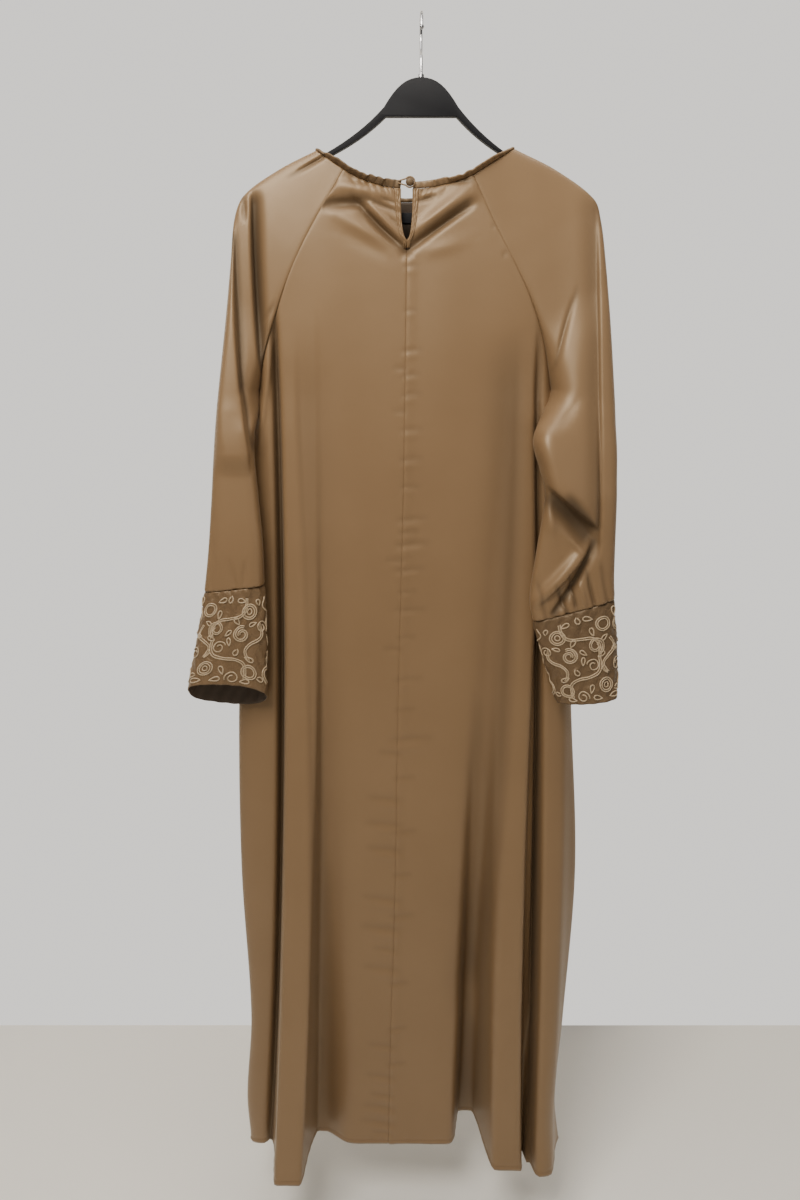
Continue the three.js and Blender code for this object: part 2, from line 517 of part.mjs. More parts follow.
// A closed geometry with its faces turned outwards.
function solidGeometry(positions, faces) {
  const v = (n) => new THREE.Vector3().fromArray(positions, 3 * n);
  let volume = 0;
  for (let i = 0; i < faces.length; i += 3)
    volume += v(faces[i]).dot(v(faces[i + 1]).cross(v(faces[i + 2])));
  if (volume < 0)
    for (let i = 0; i < faces.length; i += 3)
      [faces[i + 1], faces[i + 2]] = [faces[i + 2], faces[i + 1]];
  const geometry = new THREE.BufferGeometry();
  geometry.setAttribute("position", new THREE.Float32BufferAttribute(positions, 3));
  geometry.setIndex(faces);
  geometry.computeVertexNormals();
  return geometry;
}

// A closed bar through rings of points, capped at both ends.
function loft(rings) {
  const sides = rings[0].length;
  const positions = rings.flatMap((ring) => ring.flatMap((p) => [p.x, p.y, p.z]));
  const faces = [];
  for (let i = 0; i < rings.length - 1; i += 1)
    for (let k = 0; k < sides; k += 1) {
      const a = i * sides + k;
      const b = i * sides + ((k + 1) % sides);
      faces.push(a, b, b + sides, a, b + sides, a + sides);
    }
  const end = (rings.length - 1) * sides;
  for (let k = 1; k < sides - 1; k += 1) {
    faces.push(0, k + 1, k);
    faces.push(end, end + k, end + k + 1);
  }
  return solidGeometry(positions, faces);
}

const object = new THREE.Group();
function add(name, geometry, material) {
  const mesh = new THREE.Mesh(geometry, material);
  mesh.name = name;
  object.add(mesh);
  return mesh;
}

const wasm = await Module();
wasm.setup();

function solidOf(geometry) {
  const bare = geometry.clone();
  bare.deleteAttribute("normal");
  bare.deleteAttribute("uv");
  const merged = mergeVertices(bare);
  return new wasm.Manifold(
    new wasm.Mesh({
      numProp: 3,
      vertProperties: merged.attributes.position.array,
      triVerts: new Uint32Array(merged.index.array),
    }),
  );
}

// Two overlapping closed geometries as one.
function joined(a, b) {
  const mesh = solidOf(a).add(solidOf(b)).getMesh();
  const geometry = new THREE.BufferGeometry();
  geometry.setAttribute("position", new THREE.BufferAttribute(mesh.vertProperties, 3));
  geometry.setIndex(new THREE.BufferAttribute(mesh.triVerts, 1));
  geometry.computeVertexNormals();
  return geometry;
}

function addBodyAndSleeves() {
  const grids = {
    near_left: nearGrid("left"),
    near_right: nearGrid("right"),
    far: farGrid(),
    sleeve_left: sleeveGrid("left"),
    sleeve_right: sleeveGrid("right"),
  };
  const normals = {
    near_left: normalsOf(grids.near_left, -1),
    near_right: normalsOf(grids.near_right, 1),
    far: normalsOf(grids.far, -1),
    sleeve_left: normalsOf(grids.sleeve_left, -1, UNDERARM_ROW),
    sleeve_right: normalsOf(grids.sleeve_right, 1, UNDERARM_ROW),
  };
  const yoke = YOKE.map((_, i) => i).slice(0, UNDERARM_ROW);
  const skirt = SKIRT.map((_, i) => i + UNDERARM_ROW);
  skirt.push(grids.far.length - 1);
  matchSeam(normals.near_left, 0, normals.near_right, 0, [...yoke, ...skirt].slice(KEYHOLE_ROWS + 1));
  matchSeam(normals.near_left, NEAR_COLUMNS, normals.far, 0, skirt);
  matchSeam(normals.near_right, NEAR_COLUMNS, normals.far, FAR_COLUMNS, skirt);
  matchSeam(normals.near_left, NEAR_COLUMNS, normals.sleeve_left, 0, yoke);
  matchSeam(normals.near_right, NEAR_COLUMNS, normals.sleeve_right, 0, yoke);
  matchSeam(normals.far, 0, normals.sleeve_left, SLEEVE_COLUMNS, yoke);
  matchSeam(normals.far, FAR_COLUMNS, normals.sleeve_right, SLEEVE_COLUMNS, yoke);
  add("back_panel_left", wallOf(grids.near_left, normals.near_left), SATIN);
  add("back_panel_right", wallOf(grids.near_right, normals.near_right), SATIN);
  add("front_panel", wallOf(grids.far, normals.far), SATIN);
  for (const side of ["left", "right"]) {
    const sleeve = `sleeve_${side}`;
    add(sleeve, wallOf(grids[sleeve], normals[sleeve], { closedFrom: UNDERARM_ROW }), SATIN);
    const cuff = cuffGrid(side);
    const turn = side === "left" ? -1 : 1;
    add(`cuff_${side}`, wallOf(cuff, normalsOf(cuff, turn, 0), { closedFrom: 0 }), SATIN);
    const strip = stripGrid(side);
    const binding = wallOf(strip, normalsOf(strip, turn), { thick: KEYHOLE_STRIP_THICK });
    add(`keyhole_binding_${side}`, binding, SATIN);
  }
  return { grids, normals };
}

// The binding round the neck, a folded strip standing on the cloth's top edge, open at the keyhole.
function addNeckBinding({ grids, normals }) {
  const route = [
    ["near_left", false],
    ["sleeve_left", false],
    ["far", false],
    ["sleeve_right", true],
    ["near_right", true],
  ];
  const edge = [];
  for (const [name, back] of route) {
    const row = grids[name][0].map((p, j) => ({
      p,
      up: p.clone().sub(grids[name][1][j]).normalize(),
      out: normals[name][0][j],
    }));
    edge.push(...(back ? row.reverse() : row).slice(edge.length ? 1 : 0));
  }
  const strip = (side) => {
    const span = Math.abs(edgePoint(side, 0).x - centrePoint("near", 0).x);
    return bodyPoint("near", side, 0, (openingHalf(0) + SEAM) / span);
  };
  edge.unshift({ ...edge[0], p: strip("left") });
  edge.push({ ...edge[edge.length - 1], p: strip("right") });
  const half = { foot: BINDING.thick / 2, top: (BINDING.thick * BINDING.top) / 2 };
  const { height } = BINDING;
  const section = [[-half.foot, 0], [half.foot, 0], [half.top, height], [-half.top, height]];
  const rings = edge.map(({ p, up, out }) =>
    section.map(([across, along]) =>
      p.clone().addScaledVector(up, SEAM + along).addScaledVector(out, across),
    ),
  );
  add("neck_binding", loft(rings), SATIN);
}

// The covered button over the neck binding's end, and the loop that holds it.
function addButton() {
  const { radius, thick, rim, foot } = BUTTON;
  const steps = 5;
  const profile = [new THREE.Vector2(0, 0), new THREE.Vector2(radius * foot, 0)];
  for (let k = 0; k < steps; k += 1) {
    const turn = (Math.PI / 2) * (k / steps);
    profile.push(new THREE.Vector2(radius * Math.cos(turn), thick * mix(rim, 1, Math.sin(turn))));
  }
  profile.push(new THREE.Vector2(0, thick));
  const y = -(SPINE[0].near + BINDING.thick / 2 + SEAM);
  const button = add("button", new THREE.LatheGeometry(profile, 14), SATIN);
  button.rotation.x = Math.PI;
  button.position.set(BUTTON.x, y, BUTTON.z);
  const ring = radius + LOOP.radius + SEAM / 2;
  const at = (x, z) => new THREE.Vector3(BUTTON.x + x, y - LOOP.radius, BUTTON.z + z);
  const points = [at(-radius - LOOP.leg, -LOOP.apart)];
  for (let k = 0; k <= LOOP_STEPS; k += 1) {
    const turn = THREE.MathUtils.degToRad(mix(-LOOP.round, LOOP.round, k / LOOP_STEPS));
    points.push(at(ring * Math.cos(turn), ring * Math.sin(turn)));
  }
  points.push(at(-radius - LOOP.leg, LOOP.apart));
  add("button_loop", wire(new THREE.CatmullRomCurve3(points), LOOP.radius, 18, 5), SATIN);
}

// A round wire along a curve.
function wire(curve, radius, steps, sides) {
  const section = new THREE.Shape(
    Array.from({ length: sides }, (_, k) => {
      const turn = (2 * Math.PI * k) / sides;
      return new THREE.Vector2(radius * Math.cos(turn), radius * Math.sin(turn));
    }),
  );
  return new THREE.ExtrudeGeometry(section, { steps, extrudePath: curve, bevelEnabled: false });
}

// One couched cord: a spiral bead on the cuff's cloth, as rings of three points.
function cordRings(side, scroll) {
  const grid = cuffGrid(side);
  const middle = grid[CUFF_ROWS / 2];
  const round = middle.slice(1).reduce((sum, p, i) => sum + p.distanceTo(middle[i]), 0);
  const height = middle[0].distanceTo(grid[0][0]) + middle[0].distanceTo(grid[CUFF_ROWS][0]);
  const surface = (around, down) => {
    const row = clamp01(down / height) * CUFF_ROWS;
    const column = THREE.MathUtils.euclideanModulo(around / round, 1) * SLEEVE_COLUMNS;
    const [i, j] = [Math.min(Math.floor(row), CUFF_ROWS - 1), Math.floor(column)];
    const above = grid[i][j].clone().lerp(grid[i][j + 1], column - j);
    const below = grid[i + 1][j].clone().lerp(grid[i + 1][j + 1], column - j);
    return above.lerp(below, row - i);
  };
  const turn = side === "left" ? -1 : 1;
  const { probe } = CORD;
  const rings = [];
  for (let k = 0; k <= CORD.steps; k += 1) {
    const s = (k / CORD.steps) ** CORD.crowding;
    const angle = THREE.MathUtils.degToRad(scroll.start) + 2 * Math.PI * scroll.turns * s;
    const radius = mix(scroll.wide, scroll.tight, s);
    const at = (r) => [
      scroll.around * round + r * Math.cos(angle),
      scroll.down * height + r * Math.sin(angle),
    ];
    const [a, b] = at(radius);
    const across = surface(a + probe, b).sub(surface(a - probe, b));
    const out = surface(a, b + probe).sub(surface(a, b - probe)).cross(across);
    out.multiplyScalar(turn).normalize();
    const raised = (p, height) => p.addScaledVector(out, CLOTH / 2 + SEAM + height);
    const half = CORD.width / 2;
    rings.push([
      raised(surface(...at(radius - half)), CORD.lift),
      raised(surface(...at(radius + half)), CORD.lift),
      raised(surface(a, b), CORD.lift + CORD.thick),
    ]);
  }
  return rings;
}

function addCords() {
  for (const side of ["left", "right"])
    SCROLLS.forEach((scroll, k) => {
      add(`cuff_${side}_cord_${k + 1}`, loft(cordRings(side, scroll)), EMBROIDERY);
    });
}

// The gap inside the hanger, under its arms and above its bar.
function hangerOpening(left, right, crestHalf, crestBase) {
  const { inset, rise, clear } = ARM_HOLE;
  const below = (p) => new THREE.Vector2(p.x - Math.sign(p.x) * inset, p.y - HANGER.arm + rise);
  const within = (arm) => arm.filter((p) => Math.abs(p.x) < BAR.half - clear).map(below);
  const [underLeft, underRight] = [ARM_UNDER.left, ARM_UNDER.right];
  const strutX = BAR.half - BAR.strut;
  const inside = new THREE.Path();
  inside.moveTo(-crestHalf, crestBase);
  inside.quadraticCurveTo(underLeft.bendX, underLeft.bendZ, underLeft.x, underLeft.z);
  for (const p of within(left)) inside.lineTo(p.x, p.y);
  inside.lineTo(-strutX, underLeft.strutZ);
  inside.lineTo(-strutX, BAR.top);
  inside.lineTo(strutX, BAR.top);
  inside.lineTo(strutX, underRight.strutZ);
  for (const p of within(right).reverse()) inside.lineTo(p.x, p.y);
  inside.lineTo(underRight.x, underRight.z);
  inside.quadraticCurveTo(underRight.bendX, underRight.bendZ, crestHalf, crestBase);
  return inside;
}

// The hanger: a crest, two sloping arms under the sleeves, and a bar between their ends.
function addHanger() {
  const armPoint = (side, t) => {
    const clear = CLOTH / 2 + mix(UNDER_SLEEVE.neck, UNDER_SLEEVE.end, t / SHOULDER_T);
    const station = (column) => read(SLEEVE[side], "t", t, column);
    return new THREE.Vector2(station("outerX"), station("outerZ") - clear);
  };
  const arm = (side) => YOKE.filter((t) => t <= SHOULDER_T).map((t) => armPoint(side, t));
  const left = arm("left");
  const right = arm("right");
  const endLeft = left[left.length - 1];
  const endRight = right[right.length - 1];
  const { crestZ, crestHalf, crestBase, armTopZ } = HANGER;
  const shoulderX = crestHalf + 2;
  const [topLeft, topRight] = [ARM_TOP.left, ARM_TOP.right];
  const outline = new THREE.Shape();
  outline.moveTo(endLeft.x, endLeft.y);
  for (const p of [...left].reverse().slice(1)) outline.lineTo(p.x, p.y);
  outline.lineTo(topLeft.x, topLeft.z);
  outline.quadraticCurveTo(topLeft.bendX, topLeft.bendZ, -shoulderX, armTopZ);
  const { round, inset, drop } = CREST;
  outline.bezierCurveTo(-crestHalf + inset, crestZ - drop, -round, crestZ, 0, crestZ);
  outline.bezierCurveTo(round, crestZ, crestHalf - inset, crestZ - drop, shoulderX, armTopZ);
  outline.quadraticCurveTo(topRight.bendX, topRight.bendZ, topRight.x, topRight.z);
  for (const p of right) outline.lineTo(p.x, p.y);
  outline.lineTo(endRight.x - ARM_END_TAPER, endRight.y - HANGER.arm);
  outline.lineTo(BAR.half, BAR.bottom + BAR.radius);
  outline.lineTo(BAR.half - BAR.radius, BAR.bottom);
  outline.lineTo(-BAR.half + BAR.radius, BAR.bottom);
  outline.lineTo(-BAR.half, BAR.bottom + BAR.radius);
  outline.lineTo(endLeft.x + ARM_END_TAPER, endLeft.y - HANGER.arm);
  outline.holes.push(hangerOpening(left, right, crestHalf, crestBase));
  const shape = { depth: HANGER.thick, bevelEnabled: false, curveSegments: 8 };
  const geometry = new THREE.ExtrudeGeometry(outline, shape);
  geometry.translate(0, 0, -HANGER.thick / 2);
  geometry.rotateX(Math.PI / 2);
  add("hanger_frame", geometry, BLACK_PLASTIC);
}

// The hook: a wire from a collar on the crest, round behind the rail and over it, with a ball on its tip.
function addHook() {
  const { radius, wire: diameter, ball, shankZ, endZ, frontZ, tipRise } = HOOK;
  const r = radius + diameter / 2;
  const tipZ = frontZ - radius + tipRise;
  const arcSteps = 8;
  const points = [[0, endZ], [0, shankZ - SHANK.straight], [SHANK.bendY, shankZ + SHANK.bendRise]];
  points.push([r * SHANK.swell, shankZ + SHANK.swellRise]);
  for (let k = 0; k <= arcSteps; k += 1) {
    const turn = mix(SHANK.startTurn, Math.PI, k / arcSteps);
    points.push([r * Math.cos(turn), -radius + r * Math.sin(turn)]);
  }
  points.push([-r, tipZ + 1]);
  const curve = new THREE.CatmullRomCurve3(points.map(([y, z]) => new THREE.Vector3(0, y, z)));
  const tip = new THREE.SphereGeometry(ball, 10, 6);
  tip.translate(0, -r, tipZ);
  const collar = new THREE.CylinderGeometry(COLLAR.radius, COLLAR.radius, COLLAR.height, 12);
  collar.rotateX(Math.PI / 2);
  collar.translate(0, 0, HANGER.crestZ + SEAM + COLLAR.height / 2);
  add("hook", joined(joined(wire(curve, diameter / 2, 30, 7), tip), collar), STEEL);
}

const garment = addBodyAndSleeves();
addNeckBinding(garment);
addButton();
addCords();
addHanger();
addHook();

export default object;
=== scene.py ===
"""A satin abaya on its clothes hanger, dressed over the solids.

Sizes are in millimetres and become metres where a mesh is made. +Z is up and the side with the keyhole
neck faces -Y. Left and right are the viewer's.
"""

import json
import logging
import math
from dataclasses import dataclass, field
from enum import Enum
from typing import Callable

import bmesh
import bpy
import numpy as np
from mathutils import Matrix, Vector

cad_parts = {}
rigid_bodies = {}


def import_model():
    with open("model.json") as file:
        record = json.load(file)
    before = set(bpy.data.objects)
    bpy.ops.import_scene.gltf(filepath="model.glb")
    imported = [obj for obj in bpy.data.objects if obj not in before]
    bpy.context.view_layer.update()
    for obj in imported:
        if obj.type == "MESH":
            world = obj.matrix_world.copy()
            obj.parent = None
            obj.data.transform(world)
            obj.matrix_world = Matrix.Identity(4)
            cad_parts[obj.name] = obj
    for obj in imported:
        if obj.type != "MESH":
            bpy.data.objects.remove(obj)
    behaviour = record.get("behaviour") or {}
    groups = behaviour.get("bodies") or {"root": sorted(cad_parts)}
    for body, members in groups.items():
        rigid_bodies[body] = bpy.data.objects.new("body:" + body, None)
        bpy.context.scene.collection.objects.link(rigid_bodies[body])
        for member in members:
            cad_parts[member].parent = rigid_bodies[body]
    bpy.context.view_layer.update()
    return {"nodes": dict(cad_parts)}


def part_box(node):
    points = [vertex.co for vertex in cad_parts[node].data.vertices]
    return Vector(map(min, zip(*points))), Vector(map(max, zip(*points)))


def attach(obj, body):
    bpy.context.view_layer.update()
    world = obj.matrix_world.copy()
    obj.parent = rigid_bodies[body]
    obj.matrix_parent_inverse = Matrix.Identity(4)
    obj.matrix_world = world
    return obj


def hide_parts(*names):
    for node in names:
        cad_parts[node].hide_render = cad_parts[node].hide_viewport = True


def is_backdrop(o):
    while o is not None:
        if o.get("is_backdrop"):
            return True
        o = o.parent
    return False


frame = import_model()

logging.basicConfig(level=logging.INFO, format="%(message)s")
log = logging.getLogger("abaya")

MM = 0.001
Array = np.ndarray
Colour = tuple[float, float, float]
Place = tuple[float, float, float]


class Side(Enum):
    """The viewer's left or right of the garment."""

    LEFT = "left"
    RIGHT = "right"

    @property
    def turn(self) -> float:
        """The sign that makes a grid of this side face outwards."""
        return -1.0 if self is Side.LEFT else 1.0


class Face(Enum):
    """The cloth nearer the viewer or the cloth behind it, with its sign along Y."""

    NEAR = -1
    FAR = 1


# Plain mathematics


def smooth(a: Array) -> Array:
    """Rises softly from 0 at 0 to 1 at 1: three a squared less two a cubed."""
    a = np.clip(a, 0.0, 1.0)
    return a * a * (3.0 - 2.0 * a)


def mix(a: Array, b: Array, share: Array) -> Array:
    """The value a share of the way from a to b."""
    return a + (b - a) * share


def arch(w: Array, power: float) -> Array:
    """A rounded arch, 1 at w 0 and 0 at w 1: the power-th root of one less w to that power."""
    return np.clip(1.0 - np.minimum(1.0, np.abs(w)) ** power, 0.0, 1.0) ** (1.0 / power)


def bell(a: Array) -> Array:
    """A bell curve, 1 at 0: e to the power of minus a squared."""
    return np.exp(-a * a)


def through_three(v0: float, v1: float, v2: float, s: Array) -> Array:
    """The parabola through v0 at s 0, v1 at s 0.5 and v2 at s 1."""
    return v0 * (1 - s) * (1 - 2 * s) + 4 * v1 * s * (1 - s) + v2 * s * (2 * s - 1)


def unit(v: Array) -> Array:
    """Vectors brought to length 1."""
    return v / np.maximum(np.linalg.norm(v, axis=-1, keepdims=True), 1e-9)


@dataclass(frozen=True)
class Levels:
    """Rows of sizes, read along a smooth curve by their key column.

    Between two rows a column follows the cubic whose slope at each row is that of the line through the
    rows on its two sides.
    """

    key: str
    columns: dict[str, tuple[float, ...]]

    def read(self, at: Array, column: str) -> Array:
        """Reads a column.

        Args:
            at: values of the key column.
            column: the column's name.

        Returns:
            The column's value at each of them.
        """
        keys = np.array(self.columns[self.key], float)
        values = np.array(self.columns[column], float)
        if keys[0] > keys[-1]:
            keys, values = keys[::-1], values[::-1]
        slopes = np.empty_like(values)
        slopes[1:-1] = (values[2:] - values[:-2]) / (keys[2:] - keys[:-2])
        slopes[0] = (values[1] - values[0]) / (keys[1] - keys[0])
        slopes[-1] = (values[-1] - values[-2]) / (keys[-1] - keys[-2])
        at = np.asarray(at, float)
        i = np.clip(np.searchsorted(keys, at, side="right") - 1, 0, len(keys) - 2)
        span = keys[i + 1] - keys[i]
        s = np.clip((at - keys[i]) / span, 0.0, 1.0)
        return (
            values[i] * (1 + 2 * s) * (1 - s) ** 2
            + values[i + 1] * (3 - 2 * s) * s**2
            + slopes[i] * span * s * (1 - s) ** 2
            - slopes[i + 1] * span * s**2 * (1 - s)
        )


@dataclass(frozen=True)
class Fold:
    """One long fold of a face, along the parabola through three points of the front view.

    It stands out by d0, d1 and d2 at its top, middle and end. Its top is flat for that many millimetres
    each side of the line and then falls away as a bell curve, over soft[0] to the left and soft[1] to the
    right. Past its ends it fades over the given share of its length. Its shade is painted shade: how much
    the cloth's colour is darkened inside it, where light hardly gets in.
    """

    face: str
    start: tuple[float, float]
    bend: float
    end: tuple[float, float]
    depth: tuple[float, float, float]
    flat: float
    soft: tuple[float, float]
    fade: float = 0.12
    shade: float = 0.0

    def profile(self, x: Array, z: Array) -> tuple[Array, Array]:
        """The share along the fold at points of the front view, and the fold's shape there from 0 to 1."""
        s = (z - self.start[1]) / (self.end[1] - self.start[1])
        along = np.clip(s, 0.0, 1.0)
        past = np.abs(s - along) / self.fade
        aside = x - through_three(self.start[0], self.bend, self.end[0], along)
        soft = np.where(aside < 0, self.soft[0], self.soft[1])
        beyond = np.maximum(0.0, np.abs(aside) - self.flat) / soft
        return along, (1 - smooth(past)) * bell(beyond)


@dataclass(frozen=True)
class Crease:
    """A short fold in any direction, from one point of the front view to another.

    Its line bows out to its left by bow in the middle. It stands out by depth at its start, middle and end,
    is flat for that many millimetres each side, and falls away over soft[0] to its right and soft[1] to its
    left, seen along it. Past its ends it fades over 18 mm or half its length, whichever is less. Its shade
    is painted shade, as a fold's.
    """

    face: str
    start: tuple[float, float]
    end: tuple[float, float]
    depth: tuple[float, float, float]
    soft: tuple[float, float] = (4.0, 4.0)
    bow: float = 0.0
    flat: float = 0.0
    shade: float = 0.0

    def profile(self, x: Array, z: Array) -> tuple[Array, Array]:
        """The share along the crease at points of the front view, and its shape there from 0 to 1."""
        run_x, run_z = self.end[0] - self.start[0], self.end[1] - self.start[1]
        length = math.hypot(run_x, run_z)
        c, n = run_x / length, run_z / length
        s = ((x - self.start[0]) * c + (z - self.start[1]) * n) / length
        along = np.clip(s, 0.0, 1.0)
        past = np.abs(s - along) * length / min(18.0, length / 2)
        aside = (z - self.start[1]) * c - (x - self.start[0]) * n - 4 * self.bow * along * (1 - along)
        soft = np.where(aside < 0, self.soft[0], self.soft[1])
        beyond = np.maximum(0.0, np.abs(aside) - self.flat) / soft
        return along, (1 - smooth(past)) * bell(beyond)


# The garment's sizes

CLOTH = 1.0
UNDERARM_Z = -425.0
HEM_Z = {"near": -1535.0, "side": -1550.0, "far": -1552.0}
NECK_Z = {"near": -191.0, "far": -200.0}
SKIRT_ARCH = 2.6
CAP_ARCH = 5.0
ARM_ARCH = {Face.NEAR: 3.4, Face.FAR: 2.4}
SHOULDER_T = 0.4
TIP_T = 0.22
EASE = 0.15
EASE_AT = np.linspace(-1, 1, 15)[1:-1]
EASE_SHARE = np.hanning(15)[1:-1] / np.hanning(15).sum()
LEAD_FROM = 0.7
LEAD_POWER = 5.0
KEYHOLE_BOTTOM = 0.282
KEYHOLE_TIP = 0.246
KEYHOLE_OPENING = 6.9
KEYHOLE_STRIP = (7.5, 3.4)
SEAM = 0.3
HEM_ROLL = 6.5

SPINE = Levels(
    "z",
    {
        "z": (-191, -260, -425, -560, -850, -1100, -1350, -1545),
        "x": (-17, -17, -19, -21, -28, -32, -39, -43),
        "near": (14, 18, 24, 27, 30, 30, 28, 27),
        "far": (20, 22, 25, 28, 38, 48, 58, 66),
    },
)

SIDES = Levels(
    "z",
    {
        "z": (-425, -445, -470, -510, -560, -847, -1090, -1330, -1470, -1545),
        "left": (-203, -207, -214, -221, -227, -245, -251, -246, -257, -254),
        "right": (166, 170, 177, 184, 190, 209, 225, 217, 210, 218),
    },
)

RAGLAN = {
    "left": Levels(
        "t",
        {
            "t": (0, 0.22, 0.42, 0.6, 0.84, 1),
            "x": (-92, -127, -153, -171, -194, -203),
            "y": (15, 17, 19, 18, 11, 0),
            "z": (-169, -225, -273, -316, -382, -425),
        },
    ),
    "right": Levels(
        "t",
        {
            "t": (0, 0.22, 0.42, 0.6, 0.8, 1),
            "x": (62, 88, 110, 133, 152, 166),
            "y": (15, 17, 19, 18, 13, 0),
            "z": (-175, -228, -268, -312, -361, -425),
        },
    ),
}

SLEEVE = {
    "left": Levels(
        "t",
        {
            "t": (0, 0.2, 0.4, 0.5, 0.65, 0.8, 1, 1.1, 1.3, 1.55, 1.8, 2),
            "outerX": (-125, -170, -213, -225, -231, -239, -250, -252.5, -256, -261, -267, -274),
            "outerZ": (-147, -168, -197, -223, -275, -345, -432, -456, -500, -565, -625, -675),
            "innerX": (-203, -203, -203, -203, -203, -203, -203, -203.5, -207.5, -203, -199, -199),
            "innerZ": (-425, -425, -425, -425, -425, -425, -425, -450, -494, -560, -617, -667),
            "middle": (0, 0, -1, -2, -6, -12, -21, -26, -35, -42, -45, -45),
            "roll": (11, 11, 12, 14, 16, 18, 19, 19, 18, 17, 17, 18),
        },
    ),
    "right": Levels(
        "t",
        {
            "t": (0, 0.2, 0.4, 0.5, 0.65, 0.8, 1, 1.05, 1.1, 1.25, 1.37, 1.47, 1.7, 1.88, 2),
            "outerX": (111, 163, 209, 218, 225, 233, 240, 240.5, 241, 243, 243.5, 244, 245, 246, 248),
            "outerZ": (
                -145, -169, -201, -226, -275, -350, -438, -451, -464, -500, -533, -560, -622, -658, -684
            ),
            "innerX": (166, 166, 166, 166, 166, 166, 166, 162, 155, 140, 149, 156, 148, 141, 146),
            "innerZ": (
                -425, -425, -425, -425, -425, -425, -425, -438, -452, -486, -522, -552, -622, -683, -713
            ),
            "middle": (0, 0, -1, -3, -9, -17, -28, -31, -34, -42, -47, -50, -50, -50, -50),
            "roll": (11, 11, 12, 14, 16, 18, 20, 20, 20, 19, 18, 18, 18, 17, 17),
        },
    ),
}

CUFF = {
    "left": Levels(
        "t",
        {
            "t": (0, 0.5, 1),
            "outerX": (-274, -287, -303),
            "outerZ": (-675.6, -742, -812),
            "innerX": (-199, -199, -202),
            "innerZ": (-667.6, -738, -818),
            "middle": (-45, -45.5, -46),
            "roll": (18, 19.5, 21),
            "lean": (0, 14, 40),
        },
    ),
    "right": Levels(
        "t",
        {
            "t": (0, 0.5, 1),
            "outerX": (248, 254, 258),
            "outerZ": (-684.6, -748, -811),
            "innerX": (146, 162, 181),
            "innerZ": (-713.6, -764, -819),
            "middle": (-50, -50, -50),
            "roll": (17, 21, 26),
            "lean": (0, -3, -6),
        },
    ),
}

# Long folds; a shade is painted shade, darkening the cloth's colour inside the fold
FOLDS = (
    Fold("near", (-150, -430), -161, (-187, -1545), (2, 24, 77), 18, (7, 6)),
    Fold("near", (-180, -400), -188, (-223, -1545), (-12, -18, -8), 1, (4.5, 3.5), shade=0.78),
    Fold("near", (-144, -470), -136, (-146, -1545), (-4, -7, -24), 5, (6, 26), shade=0.15),
    Fold("near", (116, -437), 112, (84, -1250), (-3, -8, -9), 2, (26, 12), shade=0.34),
    Fold("near", (86, -860), 82, (77, -1545), (0, -24, -66), 10, (8, 13), shade=0.2),
    Fold("near", (138, -480), 126, (133, -1545), (2, 21, 50), 19, (13, 4)),
    Fold("near", (147, -440), 163, (166, -1545), (-7, -27, -26), 0.5, (3.5, 5), shade=0.6),
    Fold("near", (160, -480), 181, (180, -1545), (0, 17, 60), 15, (5, 14)),
    Fold("near", (-12, -266), -24, (-38, -1545), (0.6, 0.9, 0.9), 0, (4, 7), fade=0.02),
    Fold("far", (-160, -440), -176, (-196, -1545), (0, 10, 24), 12, (12, 14)),
    Fold("far", (-118, -520), -128, (-146, -1545), (0, -12, -34), 5, (14, 14)),
    Fold("far", (-70, -520), -78, (-92, -1545), (0, 6, 18), 12, (14, 14)),
    Fold("far", (-8, -560), -14, (-26, -1545), (0, -10, -28), 5, (16, 16)),
    Fold("far", (70, -480), 74, (78, -1545), (0, 9, 26), 14, (16, 14)),
    Fold("far", (118, -520), 132, (140, -1545), (0, -10, -30), 4, (12, 10)),
    Fold("near sleeve left", (-202, -210), -202, (-197, -402), (-7, -15, -6), 1, (1.8, 9), shade=0.8),
    Fold("near sleeve left", (-238, -232), -238, (-224, -500), (3, 10, 8), 12, (16, 2)),
    Fold("far sleeve left", (-206, -212), -212, (-214, -430), (-2, -9, -4), 2, (8, 8)),
    Fold("near sleeve right", (211, -222), 217, (221, -600), (-3, -6, -5), 0.5, (15, 2.2), shade=0.3),
    Fold("near sleeve right", (200, -310), 190, (178, -425), (0, 2, 1), 8, (9, 26), fade=0.5),
    Fold("far sleeve right", (196, -214), 200, (196, -430), (-2, -9, -4), 2, (9, 9)),
    Fold("near sleeve right", (205, -618), 178, (146, -690), (2, 9, 3), 3, (8, 4)),
    Fold("near sleeve right", (216, -610), 196, (170, -700), (-3, -8, -4), 1, (4, 6), shade=0.75),
)
